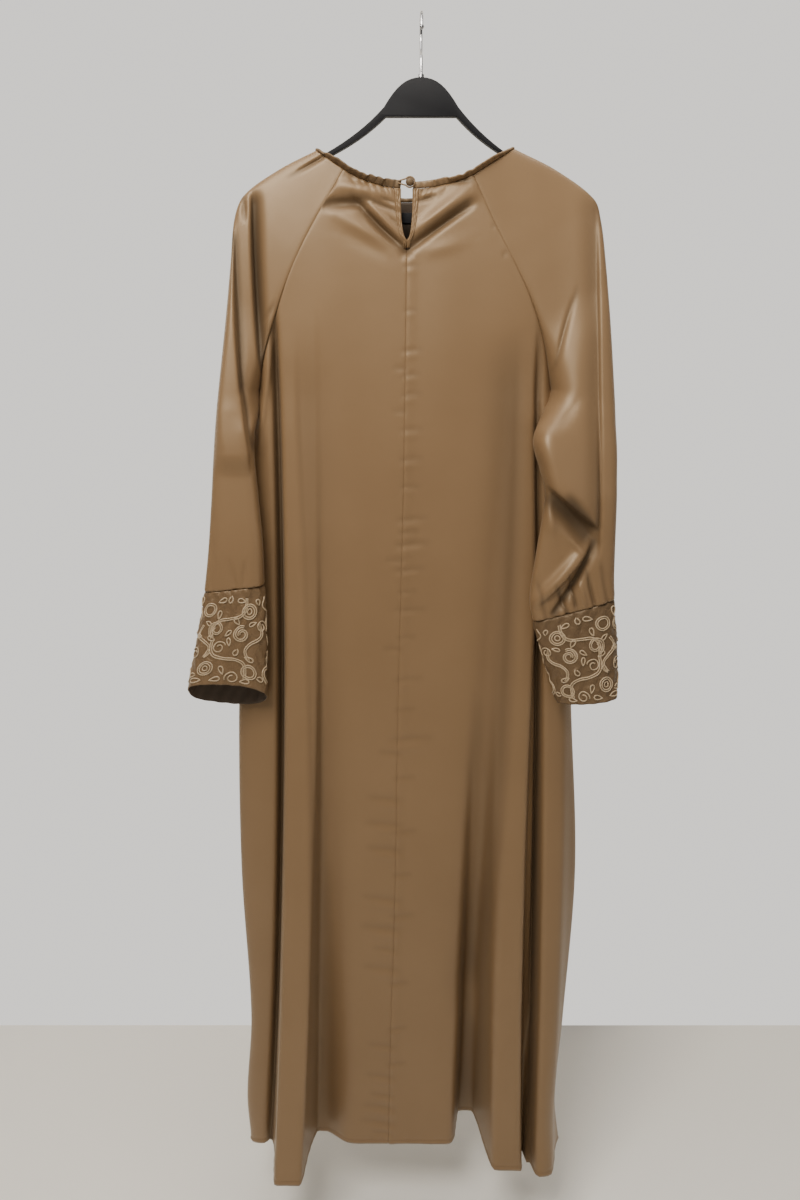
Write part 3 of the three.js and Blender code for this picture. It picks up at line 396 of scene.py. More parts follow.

# Folds that drag from the raglan seams to the keyhole, and the puffs above them; a shade is painted shade
KEYHOLE_CREASES = (
    Crease("near", (-112, -207), (-74, -206), (-3.5, -6.5, -4.0), (6.0, 4.5), flat=1.5, shade=0.5),
    Crease("near", (-74, -207), (-19, -258), (-4.0, -9.0, -3.0), (8.0, 3.2), bow=-1.5, shade=0.55),
    Crease("near", (-98, -188), (-46, -197), (2.0, 4.0, 2.0), (7.0, 6.0), flat=1.0),
    Crease("near", (-59, -211), (-22, -248), (1.5, 3.0, 1.0), (3.0, 5.0)),
    Crease("near", (-60, -204), (-31, -216), (-1.0, -2.8, -1.5), (2.4, 2.8), shade=0.4),
    Crease("near", (-46, -202), (-33, -206), (-0.8, -1.8, -1.2), (1.6, 1.8), shade=0.35),
    Crease("near", (-37, -223), (-28, -232), (-0.5, -1.4, -0.8), (1.8, 2.0), shade=0.2),
    Crease("near", (54, -212), (-15, -260), (-4.5, -9.0, -4.0), (6.0, 4.5), bow=-1.0, flat=0.5, shade=0.5),
    Crease("near", (60, -193), (-2, -240), (3.0, 6.5, 1.5), (8.0, 9.0), flat=2.0),
    Crease("near", (14, -200), (0, -204), (-1.6, -3.2, -1.6), (2.6, 2.6), shade=0.5),
    Crease("near", (55, -183), (7, -191), (-1.0, -2.4, -1.8), (2.8, 3.0), bow=-3.0, shade=0.35),
    Crease("near", (-100, -222), (-36, -254), (0.8, 2.0, 0.5), (7.0, 7.0)),
    Crease("near", (-96, -240), (-40, -268), (-0.4, -1.2, -0.3), (8.0, 8.0)),
    Crease("near", (4, -264), (50, -252), (0.3, 1.2, 0.4), (8.0, 8.0)),
    Crease("near", (90, -229), (87, -235), (-0.3, -0.7, -0.3), (2.2, 2.2), shade=0.15),
    Crease("near", (103, -262), (100, -268), (-0.3, -0.7, -0.3), (2.2, 2.2), shade=0.15),
    Crease("near", (-183, -366), (-203, -490), (2.0, 5.0, 2.0), (6.0, 3.0)),
)

# The right sleeve's folds under its pouch and above its cuff, and the dimples at the hanger's ends; a shade is
# painted shade
SLEEVE_CREASES = (
    Crease(
        "near sleeve right", (164, -556), (206, -600), (-3.0, -10.0, -7.0), (11.0, 6.0), flat=2.5, shade=0.72
    ),
    Crease(
        "near sleeve right", (182, -560), (210, -590), (-1.0, -3.0, -2.0), (8.0, 6.0), flat=3.0, shade=0.7
    ),
    Crease("near sleeve right", (156, -560), (164, -604), (1.0, 4.0, 1.0), (7.0, 6.0)),
    Crease("near sleeve right", (184, -604), (206, -626), (1.0, 3.0, 1.0), (3.5, 3.5)),
    Crease("near sleeve right", (188, -658), (196, -688), (0.0, -3.6, -4.0), (2.6, 2.6), shade=0.6),
    Crease("near sleeve right", (209, -650), (219, -686), (0.0, -4.2, -4.0), (2.4, 3.0), shade=0.5),
    Crease("near sleeve right", (199, -658), (207, -684), (0.0, 3.0, 3.2), (2.8, 2.8)),
    Crease("near sleeve right", (226, -640), (238, -686), (0.0, -2.4, -2.8), (3.0, 3.0), shade=0.25),
    Crease("near sleeve right", (174, -672), (186, -700), (0.0, -3.6, -3.2), (3.0, 3.0), shade=0.6),
    Crease("near sleeve right", (150, -668), (160, -704), (-0.5, -2.2, -2.0), (3.0, 3.0), shade=0.3),
    Crease(
        "near sleeve right", (188, -312), (167, -392), (-0.4, -3.2, -1.2), (2.2, 3.6), bow=-1.5, shade=0.3
    ),
    Crease("near sleeve right", (196, -432), (168, -470), (-0.3, -1.4, -0.5), (5.0, 7.0)),
    Crease("near sleeve right", (213, -212), (217, -230), (-1.5, -3.0, -1.0), (4.0, 4.0), shade=0.3),
    Crease("near sleeve left", (-213, -203), (-212, -222), (-1.5, -3.0, -1.5), (3.5, 3.5), shade=0.4),
    Crease("near sleeve left", (-150, -173), (-122, -158), (-0.3, -2.4, -3.0), (3.0, 2.2), shade=0.45),
    Crease("near sleeve left", (-225.5, -250), (-220, -420), (-0.8, -2.6, -1.5), (2.5, 6.0), shade=0.7),
    Crease("near sleeve left", (-219, -420), (-209, -490), (-1.5, -1.5, -1.0), (1.5, 3.0), shade=0.6),
    Crease("near sleeve left", (-194, -346), (-180, -326), (0.0, -1.8, -0.8), (3.0, 3.0), shade=0.2),
    Crease("near sleeve left", (-240, -630), (-232, -668), (0.0, -1.4, -1.6), (4.0, 4.0)),
    Crease("near sleeve left", (-218, -632), (-222, -664), (0.0, -1.4, -1.6), (3.5, 3.5)),
    Crease("near sleeve left", (-256, -560), (-262, -668), (0.0, -1.6, -1.8), (5.0, 5.0)),
)


@dataclass(frozen=True)
class SeamPucker:
    """A short dimple drawn in by the centre seam's thread, with a small swelling under it.

    It starts on the seam at a height and runs out to one side, sideways and a little up, for its reach.
    """

    z: float
    side: int
    reach: float
    depth: float
    rise: float

    def creases(self) -> tuple[Crease, Crease]:
        """The dimple and the swelling under it."""
        x = float(SPINE.read(np.array(self.z), "x"))
        end = x + self.side * 1.4 * self.reach
        d, wide = 0.5 * self.depth, 2.4 + self.reach / 6
        dip = (-0.8 * d, -d, -0.2 * d)
        # The dimple's shade is painted shade
        dimple = Crease("near", (x, self.z), (end, self.z + self.rise), dip, (wide, 0.7 * wide), shade=0.12)
        below = self.z - 1.7 * wide
        lift = (0.8 * d, 0.8 * d, 0.2 * d)
        swell = Crease("near", (x, below), (end, below + self.rise), lift, (wide, wide))
        return dimple, swell


# Puckers down the centre seam: height, side, reach, depth, rise at the far end
PUCKER_TABLE = (
    (-279, 1, 9, 0.7, 1.0), (-331, 1, 8, 0.6, 1.5), (-378, 1, 12, 1.0, 2.0), (-400, -1, 9, 0.7, 1.0),
    (-407, 1, 11, 0.9, 1.5), (-431, 1, 12, 1.0, 2.0), (-452, -1, 9, 0.7, 1.0), (-474, 1, 13, 1.2, 2.0),
    (-511, 1, 14, 1.2, 2.5), (-545, 1, 12, 0.9, 1.0), (-587, 1, 18, 1.5, 3.0), (-603, 1, 12, 1.1, 2.0),
    (-619, 1, 20, 1.8, 3.0), (-640, -1, 12, 1.0, 1.0), (-652, 1, 17, 1.5, 3.0), (-681, 1, 12, 1.0, 2.0),
    (-705, 1, 19, 1.5, 2.0), (-742, 1, 12, 1.0, 2.0), (-759, -1, 12, 1.1, 1.5), (-800, 1, 18, 1.4, 3.0),
    (-842, 1, 13, 1.1, 2.0), (-885, 1, 27, 2.2, 4.0), (-905, -1, 14, 1.3, 2.0), (-940, 1, 14, 1.2, 2.0),
    (-973, -1, 22, 1.9, 4.0), (-1010, -1, 24, 2.1, 4.0), (-1020, 1, 16, 1.3, 3.0), (-1048, -1, 23, 1.9, 4.0),
    (-1085, 1, 13, 1.1, 2.0), (-1125, -1, 26, 2.1, 5.0), (-1150, 1, 16, 1.3, 3.0), (-1172, -1, 26, 2.1, 5.0),
    (-1205, -1, 16, 1.4, 3.0), (-1236, -1, 23, 1.8, 4.0), (-1260, 1, 14, 1.2, 3.0), (-1335, 1, 13, 1.4, 3.0),
    (-1365, -1, 18, 1.6, 4.0), (-1394, 1, 13, 1.3, 2.0), (-1418, -1, 20, 1.7, 5.0), (-1450, -1, 16, 1.6, 4.0),
    (-1472, -1, 22, 1.9, 6.0), (-1499, -1, 24, 2.0, 6.0), (-1516, -1, 14, 1.4, 3.0),
)

# Small gathers under the neck binding: place, heading in degrees from +X, length, depth
NECK_GATHERS = (
    (-82, -180, -60, 18, 0.9), (-72, -182, -61, 14, 0.8), (-64, -184, -62, 20, 1.3), (-55, -186, -64, 15, 0.9),
    (-46, -187, -66, 22, 1.4), (-40, -188, -70, 14, 1.0), (-34, -188, -75, 20, 1.2), (4, -189, -110, 18, 1.2),
    (11, -188, -113, 14, 0.9), (18, -186, -116, 20, 1.2), (34, -183, -120, 17, 1.0), (50, -180, -122, 14, 0.8),
)


def neck_gathers() -> tuple[Crease, ...]:
    """The neck's gathers as creases that start at the binding."""
    made = []
    for x, z, heading, length, depth in NECK_GATHERS:
        c, n = math.cos(math.radians(heading)), math.sin(math.radians(heading))
        end = (x + length * c, z + length * n)
        made.append(Crease("near", (x, z), end, (-depth, -0.6 * depth, -0.1 * depth), (2.2, 2.2)))
    return tuple(made)


SEAM_CREASES = tuple(c for row in PUCKER_TABLE for c in SeamPucker(*row).creases())
ALL_FOLDS = (*FOLDS, *KEYHOLE_CREASES, *SLEEVE_CREASES, *SEAM_CREASES, *neck_gathers())


@dataclass(frozen=True)
class Waves:
    """Slow uneven swells of the whole cloth: sums of sines across and down, a fraction of a millimetre."""

    height: float = 0.55

    def stands_out(self, x: Array, z: Array, phase: float) -> Array:
        """How far the swells stand out at points of the front view."""
        return self.height * (
            np.sin(x / 23 + 0.9 * np.sin(z / 97 + phase) + phase)
            + 0.6 * np.sin(z / 61 + x / 140 + 2 * phase)
            + 0.4 * np.sin(x / 11 + z / 170 + 3 * phase)
        )


WAVES = Waves()


def relief(face: str, x: Array, z: Array) -> Array:
    """How far all the folds, creases and swells of a face stand out: their sum."""
    out = WAVES.stands_out(x, z, {"near": 0.3, "far": 1.7}.get(face, 2.9))
    for crease in ALL_FOLDS:
        if crease.face == face:
            along, shape = crease.profile(x, z)
            out = out + through_three(*crease.depth, along) * shape
    return out


def painted_shade(face: str, points: Array) -> Array:
    """The painted shade inside the folds of a face: how much the colour is darkened, the strongest at each
    point.
    """
    dark = np.zeros(points.shape[:-1])
    for crease in ALL_FOLDS:
        if crease.face == face and crease.shade:
            dark = np.maximum(dark, crease.shade * crease.profile(points[..., 0], points[..., 2])[1])
    return dark


@dataclass(frozen=True)
class Pouch:
    """The right sleeve's sag: it hangs over a slanting lower edge, down to its corner at the long crease.

    It is full just above the edge, falls away upwards as a wide bell curve and downwards as a narrow one.
    """

    depth: float = 22
    edge: tuple[float, float, float] = (-524, -558, -590)
    across: tuple[float, float] = (140, 222)
    rise: float = 95
    drop: float = 4.5
    past: float = 2
    side: float = 10
    thinner: float = 0.55

    def stands_out(self, x: Array, z: Array) -> Array:
        """How far the pouch stands out at points of the front view."""
        along = np.clip((x - self.across[0]) / (self.across[1] - self.across[0]), 0, 1)
        above = z - through_three(*self.edge, along)
        height = bell(above / np.where(above < 0, self.drop, self.rise)) * mix(1.0, self.thinner, along)
        return self.depth * height * smooth((self.across[1] + self.past - x) / self.side)


POUCH = Pouch()


# The garment's surfaces


Curve = Callable[[Array], Array]


def eased(curve: Curve, t: Array) -> Array:
    """The mean of a curve over a short run of t on both sides, so that its corner at the underarm is soft."""
    reach = EASE * bell((t - 1) / 0.35)
    return sum(share * curve(t + reach * at) for share, at in zip(EASE_SHARE, EASE_AT))


def edge_point(side: Side, t: Array) -> Array:
    """The seam at a body panel's edge: the raglan seam for t up to 1, the side seam past it."""
    raglan, name = RAGLAN[side.value], side.value
    up = np.minimum(t, 1.0)
    z_side = mix(UNDERARM_Z, HEM_Z["side"], np.clip(t - 1, 0, 1))
    x = np.where(t <= 1, raglan.read(up, "x"), SIDES.read(z_side, name))
    y = np.where(t <= 1, np.maximum(0.0, raglan.read(up, "y")), 0.0)
    return np.stack([x, y, np.where(t <= 1, raglan.read(up, "z"), z_side)], axis=-1)


def inner_point(side: Side, t: Array) -> Array:
    """A sleeve's inner edge: the raglan seam for t up to 1, its underarm seam past it."""
    table = SLEEVE[side.value]
    under = np.stack([table.read(t, "innerX"), 0.0 * t, table.read(t, "innerZ")], axis=-1)
    return np.where((t < 1)[..., None], edge_point(side, np.minimum(t, 1.0)), under)


def half_width(side: Side, t: Array) -> Array:
    """How far the seam is from the centre line, sideways."""
    return np.abs(edge_point(side, t)[..., 0] - centre_point(Face.NEAR, t)[0])


def centre_point(face: Face, t: Array) -> tuple[Array, Array, Array]:
    """The body's centre line on a face."""
    name = face.name.lower()
    z = np.where(t <= 1, mix(NECK_Z[name], UNDERARM_Z, t), mix(UNDERARM_Z, HEM_Z[name], t - 1))
    return SPINE.read(z, "x"), SPINE.read(z, name), z


def body_surface(face: Face, side: Side, t: Array, w: Array) -> Array:
    """Points of the body.

    A row runs from the centre line to the seam: x goes evenly, z as a power of the share, and y as a rounded
    arch from the centre's depth to the seam's, plus the relief of the face, which dies out at the seam. The
    seam's corner at the underarm is felt only beside the seam.

    Args:
        face: near or far cloth.
        side: the side of the centre line.
        t: 0 at the neck, 1 at the underarm, 2 at the hem.
        w: 0 at the centre line, 1 at the seam.

    Returns:
        The points, in millimetres.
    """
    cx, cy, cz = centre_point(face, t)
    ex, ey, ez = np.moveaxis(eased(lambda at: edge_point(side, at), t), -1, 0)
    own = edge_point(side, t) - np.stack([ex, ey, ez], axis=-1)
    beside = w**14
    x = mix(cx, ex, w) + own[..., 0] * beside
    z = mix(cz, ez, w ** (2 + 2 * np.clip(t - 1, 0, 1))) + own[..., 2] * beside
    y = mix(ey, cy, arch(w, SKIRT_ARCH)) + own[..., 1] * beside
    y = y + relief(face.name.lower(), x, z) * (1 - w**36)
    return np.stack([x, face.value * y, z], axis=-1)


def sleeve_surface(face: Face, side: Side, t: Array, w: Array) -> Array:
    """Points of a sleeve.

    Over the shoulder a row is an arch from the raglan seam to the outer edge; by the underarm it has become
    one half of a flat ring. Its middle hangs towards the viewer further down: all of it but a strip at the
    seam, which is one less w to a power, and past the underarm that strip comes forward too.

    Args:
        face: near or far cloth.
        side: which sleeve.
        t: 0 at the neck, 1 at the underarm, 2 at the cuff's seam.
        w: 0 at the raglan seam or inner edge, 1 at the outer edge.

    Returns:
        The points, in millimetres.
    """
    table = SLEEVE[side.value]
    ex, ey, ez = np.moveaxis(eased(lambda at: inner_point(side, at), t), -1, 0)
    own = inner_point(side, t) - np.stack([ex, ey, ez], axis=-1)
    beside = (1 - w) ** 9
    x = mix(ex, table.read(t, "outerX"), w) + own[..., 0] * beside
    z = mix(ez, table.read(t, "outerZ"), w) + own[..., 2] * beside
    inner_y = ey + own[..., 1] * beside
    roll = table.read(t, "roll")
    closing = smooth((t - SHOULDER_T) / (1 - SHOULDER_T))
    over = mix(inner_y, roll, w) * arch(w, CAP_ARCH)
    ring = inner_y * (1 - w) ** 4 + roll * arch(2 * w - 1, ARM_ARCH[face])
    power = mix(1.0, LEAD_POWER, smooth((t - LEAD_FROM) / (1 - LEAD_FROM)))
    behind = (1 - w) ** power * (1 - smooth((t - 1) / TIP_T))
    middle = table.read(t, "middle") * (1 - behind)
    free = 1 - np.abs(2 * w - 1) ** 10
    out = relief(f"{face.name.lower()} sleeve {side.value}", x, z)
    if face is Face.NEAR and side is Side.RIGHT:
        out = out + POUCH.stands_out(x, z)
    return np.stack([x, middle + face.value * (mix(over, ring, closing) + out * free), z], axis=-1)


def cuff_surface(face: Face, side: Side, t: Array, w: Array) -> Array:
    """Points of a cuff: half a flat ring at each level, tilted so that the far rim hangs lower or higher."""
    table = CUFF[side.value]
    out = face.value * arch(2 * w - 1, ARM_ARCH[Face.FAR])
    x = mix(table.read(t, "innerX"), table.read(t, "outerX"), w)
    z = mix(table.read(t, "innerZ"), table.read(t, "outerZ"), w) - table.read(t, "lean") / 2 * out
    return np.stack([x, table.read(t, "middle") + table.read(t, "roll") * out, z], axis=-1)


# Grids and meshes

Surface = Callable[[Array, Array], Array]
EDGE_STEPS = np.array([0.0, 0.8, 1.9, 3.6])


def even_shares(
    surface: Surface, t: Array, first: Array, columns: int, finely: tuple[bool, bool], crowd: float = 1.0
) -> Array:
    """Shares that divide each row into equal lengths, with closer columns beside a seam.

    Args:
        surface: gives points for t and w.
        t: the rows, as a column.
        first: the share at which each row starts.
        columns: how many points a row has.
        finely: whether the row's start and its end lie at a seam.
        crowd: a power over 1 draws the columns towards the row's start.

    Returns:
        The share of each point, a row for each t.
    """
    dense = mix(first, 1.0, 0.5 - 0.5 * np.cos(np.pi * np.linspace(0, 1, 360))[None, :])
    reach = distances(surface(t, dense))
    total = reach[:, -1:]
    head = EDGE_STEPS[None, :] + 0 * total if finely[0] else 0 * total
    tail = total - EDGE_STEPS[None, ::-1] if finely[1] else total
    count = columns - head.shape[1] - tail.shape[1]
    middle = mix(head[:, -1:], tail[:, :1], np.linspace(0, 1, count + 2)[None, 1:-1] ** crowd)
    at = np.hstack([head, middle, tail])
    return np.array([np.interp(a, r, d) for a, r, d in zip(at, reach, dense)])


def distances(points: Array) -> Array:
    """The length along each row, from its first point to each of its points."""
    reach = np.zeros(points.shape[:2])
    reach[:, 1:] = np.cumsum(np.linalg.norm(np.diff(points, axis=1), axis=2), axis=1)
    return reach


def down_columns(points: Array) -> Array:
    """The length down each column, from its first point to each of its points."""
    return distances(np.swapaxes(points, 0, 1)).T


def grid_normals(points: Array, turn: float) -> Array:
    """The direction out of a grid: down crossed with across, turned outwards by turn."""
    return unit(np.cross(np.gradient(points, axis=0), np.gradient(points, axis=1))) * turn


def corners(grid: Array) -> Array:
    """The corners of each cell of a grid, as rows of four: top left, bottom left, bottom right, top right."""
    cells = np.stack([grid[:-1, :-1], grid[1:, :-1], grid[1:, 1:], grid[:-1, 1:]], axis=2)
    return cells.reshape(-1, 4, *grid.shape[2:])


def mesh_object(
    name: str, points: Array, faces: list[list[int]], uv: Array | None = None
) -> bpy.types.Object:
    """Makes a smooth mesh object at the origin.

    Args:
        name: the piece's name.
        points: its points, in millimetres.
        faces: its faces, as point numbers.
        uv: the map's place of each corner of each face, in metres.

    Returns:
        The object, in the scene.
    """
    mesh = bpy.data.meshes.new(name)
    mesh.from_pydata((points * MM).tolist(), [], faces)
    if uv is not None:
        mesh.uv_layers.new(name="cloth").data.foreach_set("uv", uv.reshape(-1).astype(np.float32))
    mesh.polygons.foreach_set("use_smooth", np.ones(len(mesh.polygons), bool))
    mesh.update()
    obj = bpy.data.objects.new(name, mesh)
    bpy.context.scene.collection.objects.link(obj)
    return obj


def set_attribute(obj: bpy.types.Object, name: str, values: Array) -> None:
    """Gives each point of a mesh a number."""
    attribute = obj.data.attributes.new(name, "FLOAT", "POINT")
    attribute.data.foreach_set("value", values.astype(np.float32))


@dataclass
class Sheet:
    """A grid of points that becomes a cloth wall.

    Rows from closed_from on are rings, whose last column is their first.
    """

    name: str
    points: Array
    turn: float
    closed_from: int | None = None
    thick: float = CLOTH
    painted_shades: Array | None = None

    def build(self) -> bpy.types.Object:
        """Makes the wall.

        The UV map holds metres along the cloth. The attribute up_mm is the distance up from the grid's last
        row, such as a hem, and the second attribute is painted shade: how much the cloth's colour is darkened
        inside its folds.

        Returns:
            The object, with a Solidify modifier for its wall.
        """
        rows, columns = self.points.shape[:2]
        index = np.arange(rows * columns).reshape(rows, columns)
        if self.closed_from is not None:
            index[self.closed_from :, -1] = index[self.closed_from :, 0]
        across = distances(self.points)
        down = down_columns(self.points)
        uv = corners(np.stack([across - across.mean(axis=1, keepdims=True), -down], axis=-1) * MM)
        quads = corners(index)
        if self.turn < 0:
            quads, uv = quads[:, ::-1], uv[:, ::-1]
        used, quads = np.unique(quads, return_inverse=True)
        obj = mesh_object(self.name, self.points.reshape(-1, 3)[used], quads.reshape(-1, 4).tolist(), uv)
        up = (down[-1:] - down).reshape(-1)[used]
        set_attribute(obj, "up_mm", up)
        if self.painted_shades is not None:
            set_attribute(obj, "painted_shade", self.painted_shades.reshape(-1)[used])
        wall = obj.modifiers.new("wall", "SOLIDIFY")
        wall.thickness = self.thick * MM
        wall.offset = 0
        wall.use_quality_normals = True
        return obj


@dataclass
class Skin:
    """A closed surface of four-sided and three-sided faces, with the map's place of each of their corners."""

    points: Array
    quads: Array
    quad_uv: Array
    tris: Array
    tri_uv: Array

    @staticmethod
    def over(rings: Array, along: Array, closed: bool = False) -> "Skin":
        """Stretches a skin over rings of points.

        Neighbouring rings are joined by quads, and the first and last ring are closed by fans to their
        middles, unless the last ring meets the first. The skin is turned so that its volume is positive.

        Args:
            rings: the points, a ring to a row.
            along: the distance along the piece of each ring, in millimetres.
            closed: whether the last ring meets the first.

        Returns:
            The skin.
        """
        n, k = rings.shape[:2]
        row, place = np.meshgrid(np.arange(n + closed), np.arange(k + 1), indexing="ij")
        index = (row % n) * k + place % k
        shown = np.append(along, along[-1] + along[1] - along[0]) if closed else along
        uv = np.stack([place / k * 0.01, shown[row] * MM], axis=-1)
        points, quads, quad_uv = rings.reshape(-1, 3), corners(index), corners(uv)
        tris, tri_uv = np.zeros((0, 3), int), np.zeros((0, 3, 2))
        if not closed:
            points = np.vstack([points, rings[0].mean(axis=0), rings[-1].mean(axis=0)])
            a, b = index[0, 1:], index[0, :-1]
            c, d = index[-1, :-1], index[-1, 1:]
            first = np.stack([a, b, np.full(k, n * k)], axis=-1)
            last = np.stack([c, d, np.full(k, n * k + 1)], axis=-1)
            tris = np.vstack([first, last])[:, ::-1]
            tri_uv = np.zeros((2 * k, 3, 2))
        corner = points[quads]
        volume = np.einsum("ij,ij->", corner[:, 0], np.cross(corner[:, 1], corner[:, 2]))
        volume += np.einsum("ij,ij->", corner[:, 0], np.cross(corner[:, 2], corner[:, 3]))
        if volume < 0:
            quads, quad_uv, tris, tri_uv = quads[:, ::-1], quad_uv[:, ::-1], tris[:, ::-1], tri_uv[:, ::-1]
        return Skin(points, quads, quad_uv, tris, tri_uv)

    @staticmethod
    def joined(skins: list["Skin"]) -> "Skin":
        """Several skins as one."""
        starts = np.cumsum([0] + [len(skin.points) for skin in skins[:-1]])
        return Skin(
            np.vstack([skin.points for skin in skins]),
            np.vstack([skin.quads + start for skin, start in zip(skins, starts)]),
            np.vstack([skin.quad_uv for skin in skins]),
            np.vstack([skin.tris + start for skin, start in zip(skins, starts)]),
            np.vstack([skin.tri_uv for skin in skins]),
        )

    def build(self, name: str) -> bpy.types.Object:
        """Makes the skin an object."""
        uv = np.concatenate([self.quad_uv.reshape(-1, 2), self.tri_uv.reshape(-1, 2)])
        return mesh_object(name, self.points, self.quads.tolist() + self.tris.tolist(), uv)


def carried(path: Array, section: Array, out: Array, closed: bool = False) -> Skin:
    """Carries a section along a path.

    Each section point stands off the path by its first number across (along out crossed with the path's
    direction) and by its second along out.

    Args:
        path: the path's points, in millimetres.
        section: the section's points.
        out: the direction that is outwards at each point of the path.
        closed: whether the path's end meets its start.

    Returns:
        The skin over it.
    """
    ahead = np.roll(path, -1, axis=0) - np.roll(path, 1, axis=0) if closed else np.gradient(path, axis=0)
    ahead = unit(ahead)
    out = unit(out - (out * ahead).sum(axis=1, keepdims=True) * ahead)
    aside = np.cross(out, ahead)
    sideways, outwards = section[None, :, :1] * aside[:, None, :], section[None, :, 1:] * out[:, None, :]
    rings = path[:, None, :] + sideways + outwards
    run = np.linalg.norm(np.diff(path, axis=0), axis=1)
    return Skin.over(rings, np.concatenate([[0.0], np.cumsum(run)]), closed)


def oval(across: float, high: float, sides: int, lift: float = 0.0) -> Array:
    """An oval section, across wide and high tall, its middle lifted off the path."""
    turn = np.linspace(0, 2 * np.pi, sides, endpoint=False)
    return np.stack([across / 2 * np.cos(turn), lift + high / 2 * np.sin(turn)], axis=-1)


# Finishes


class Nodes:
    """A short way to write a material's nodes."""

    def __init__(self, name: str) -> None:
        """Starts a material with a shader joined to its output."""
        self.material = bpy.data.materials.new(name)
        self.material.use_nodes = True
        self.tree = self.material.node_tree
        self.shader = self.tree.nodes["Principled BSDF"]

    def add(self, kind: str, **values: object) -> bpy.types.Node:
        """Adds a node and sets its properties and its named inputs."""
        node = self.tree.nodes.new(kind)
        for key, value in values.items():
            if hasattr(node, key):
                setattr(node, key, value)
            else:
                node.inputs[key.replace("_", " ")].default_value = value
        return node

    def link(self, a: bpy.types.NodeSocket, b: bpy.types.NodeSocket) -> None:
        """Joins an output to an input."""
        self.tree.links.new(a, b)

    def place(self) -> bpy.types.NodeSocket:
        """The object coordinates."""
        return self.add("ShaderNodeTexCoord").outputs["Object"]

    def cloth(self) -> bpy.types.NodeSocket:
        """The map that holds metres along the cloth."""
        return self.add("ShaderNodeUVMap", uv_map="cloth").outputs["UV"]

    def noise(self, at: bpy.types.NodeSocket, scale: float, detail: float = 2.0, **more: float) -> object:
        """A soft noise at the given place."""
        node = self.add("ShaderNodeTexNoise", Scale=scale, Detail=detail, **more)
        self.link(at, node.inputs["Vector"])
        return node.outputs["Fac"]

    def stretched(self, at: bpy.types.NodeSocket, scale: Colour, turn: float = 0.0) -> bpy.types.NodeSocket:
        """A place scaled by three numbers and turned by some degrees."""
        node = self.add("ShaderNodeMapping")
        node.inputs["Scale"].default_value = scale
        node.inputs["Rotation"].default_value = (0.0, 0.0, math.radians(turn))
        self.link(at, node.inputs["Vector"])
        return node.outputs["Vector"]

    def math(self, operation: str, *values: object) -> bpy.types.NodeSocket:
        """A sum of sockets or numbers, by its operation."""
        node = self.tree.nodes.new("ShaderNodeMath")
        node.operation = operation
        for socket, value in zip(node.inputs, values):
            if isinstance(value, (int, float)):
                socket.default_value = value
            else:
                self.link(value, socket)
        return node.outputs[0]

    def blend(self, a: Colour, b: Colour, share: object, under: object = None) -> bpy.types.NodeSocket:
        """A colour between a and b, or between the socket under and b."""
        node = self.add("ShaderNodeMix", data_type="RGBA")
        node.inputs["A"].default_value = (*a, 1)
        node.inputs["B"].default_value = (*b, 1)
        if under is not None:
            self.link(under, node.inputs["A"])
        self.link(share, node.inputs["Factor"])
        return node.outputs["Result"]

    def bump(self, height: object, strength: float, distance: float, on: object = None) -> object:
        """A bump node, on top of another one where that is given."""
        node = self.add("ShaderNodeBump")
        node.inputs["Strength"].default_value = strength
        node.inputs["Distance"].default_value = distance
        self.link(height, node.inputs["Height"])
        if on is not None:
            self.link(on, node.inputs["Normal"])
        return node.outputs["Normal"]

    def finish(
        self, colour: object, normal: object, rough: object, **constants: object
    ) -> bpy.types.Material:
        """Joins colour, normal and roughness to the shader and sets its constants."""
        self.link(colour, self.shader.inputs["Base Color"])
        self.link(normal, self.shader.inputs["Normal"])
        self.link(rough, self.shader.inputs["Roughness"])
        for key, value in constants.items():
            self.shader.inputs[key.replace("_", " ")].default_value = value
        return self.material


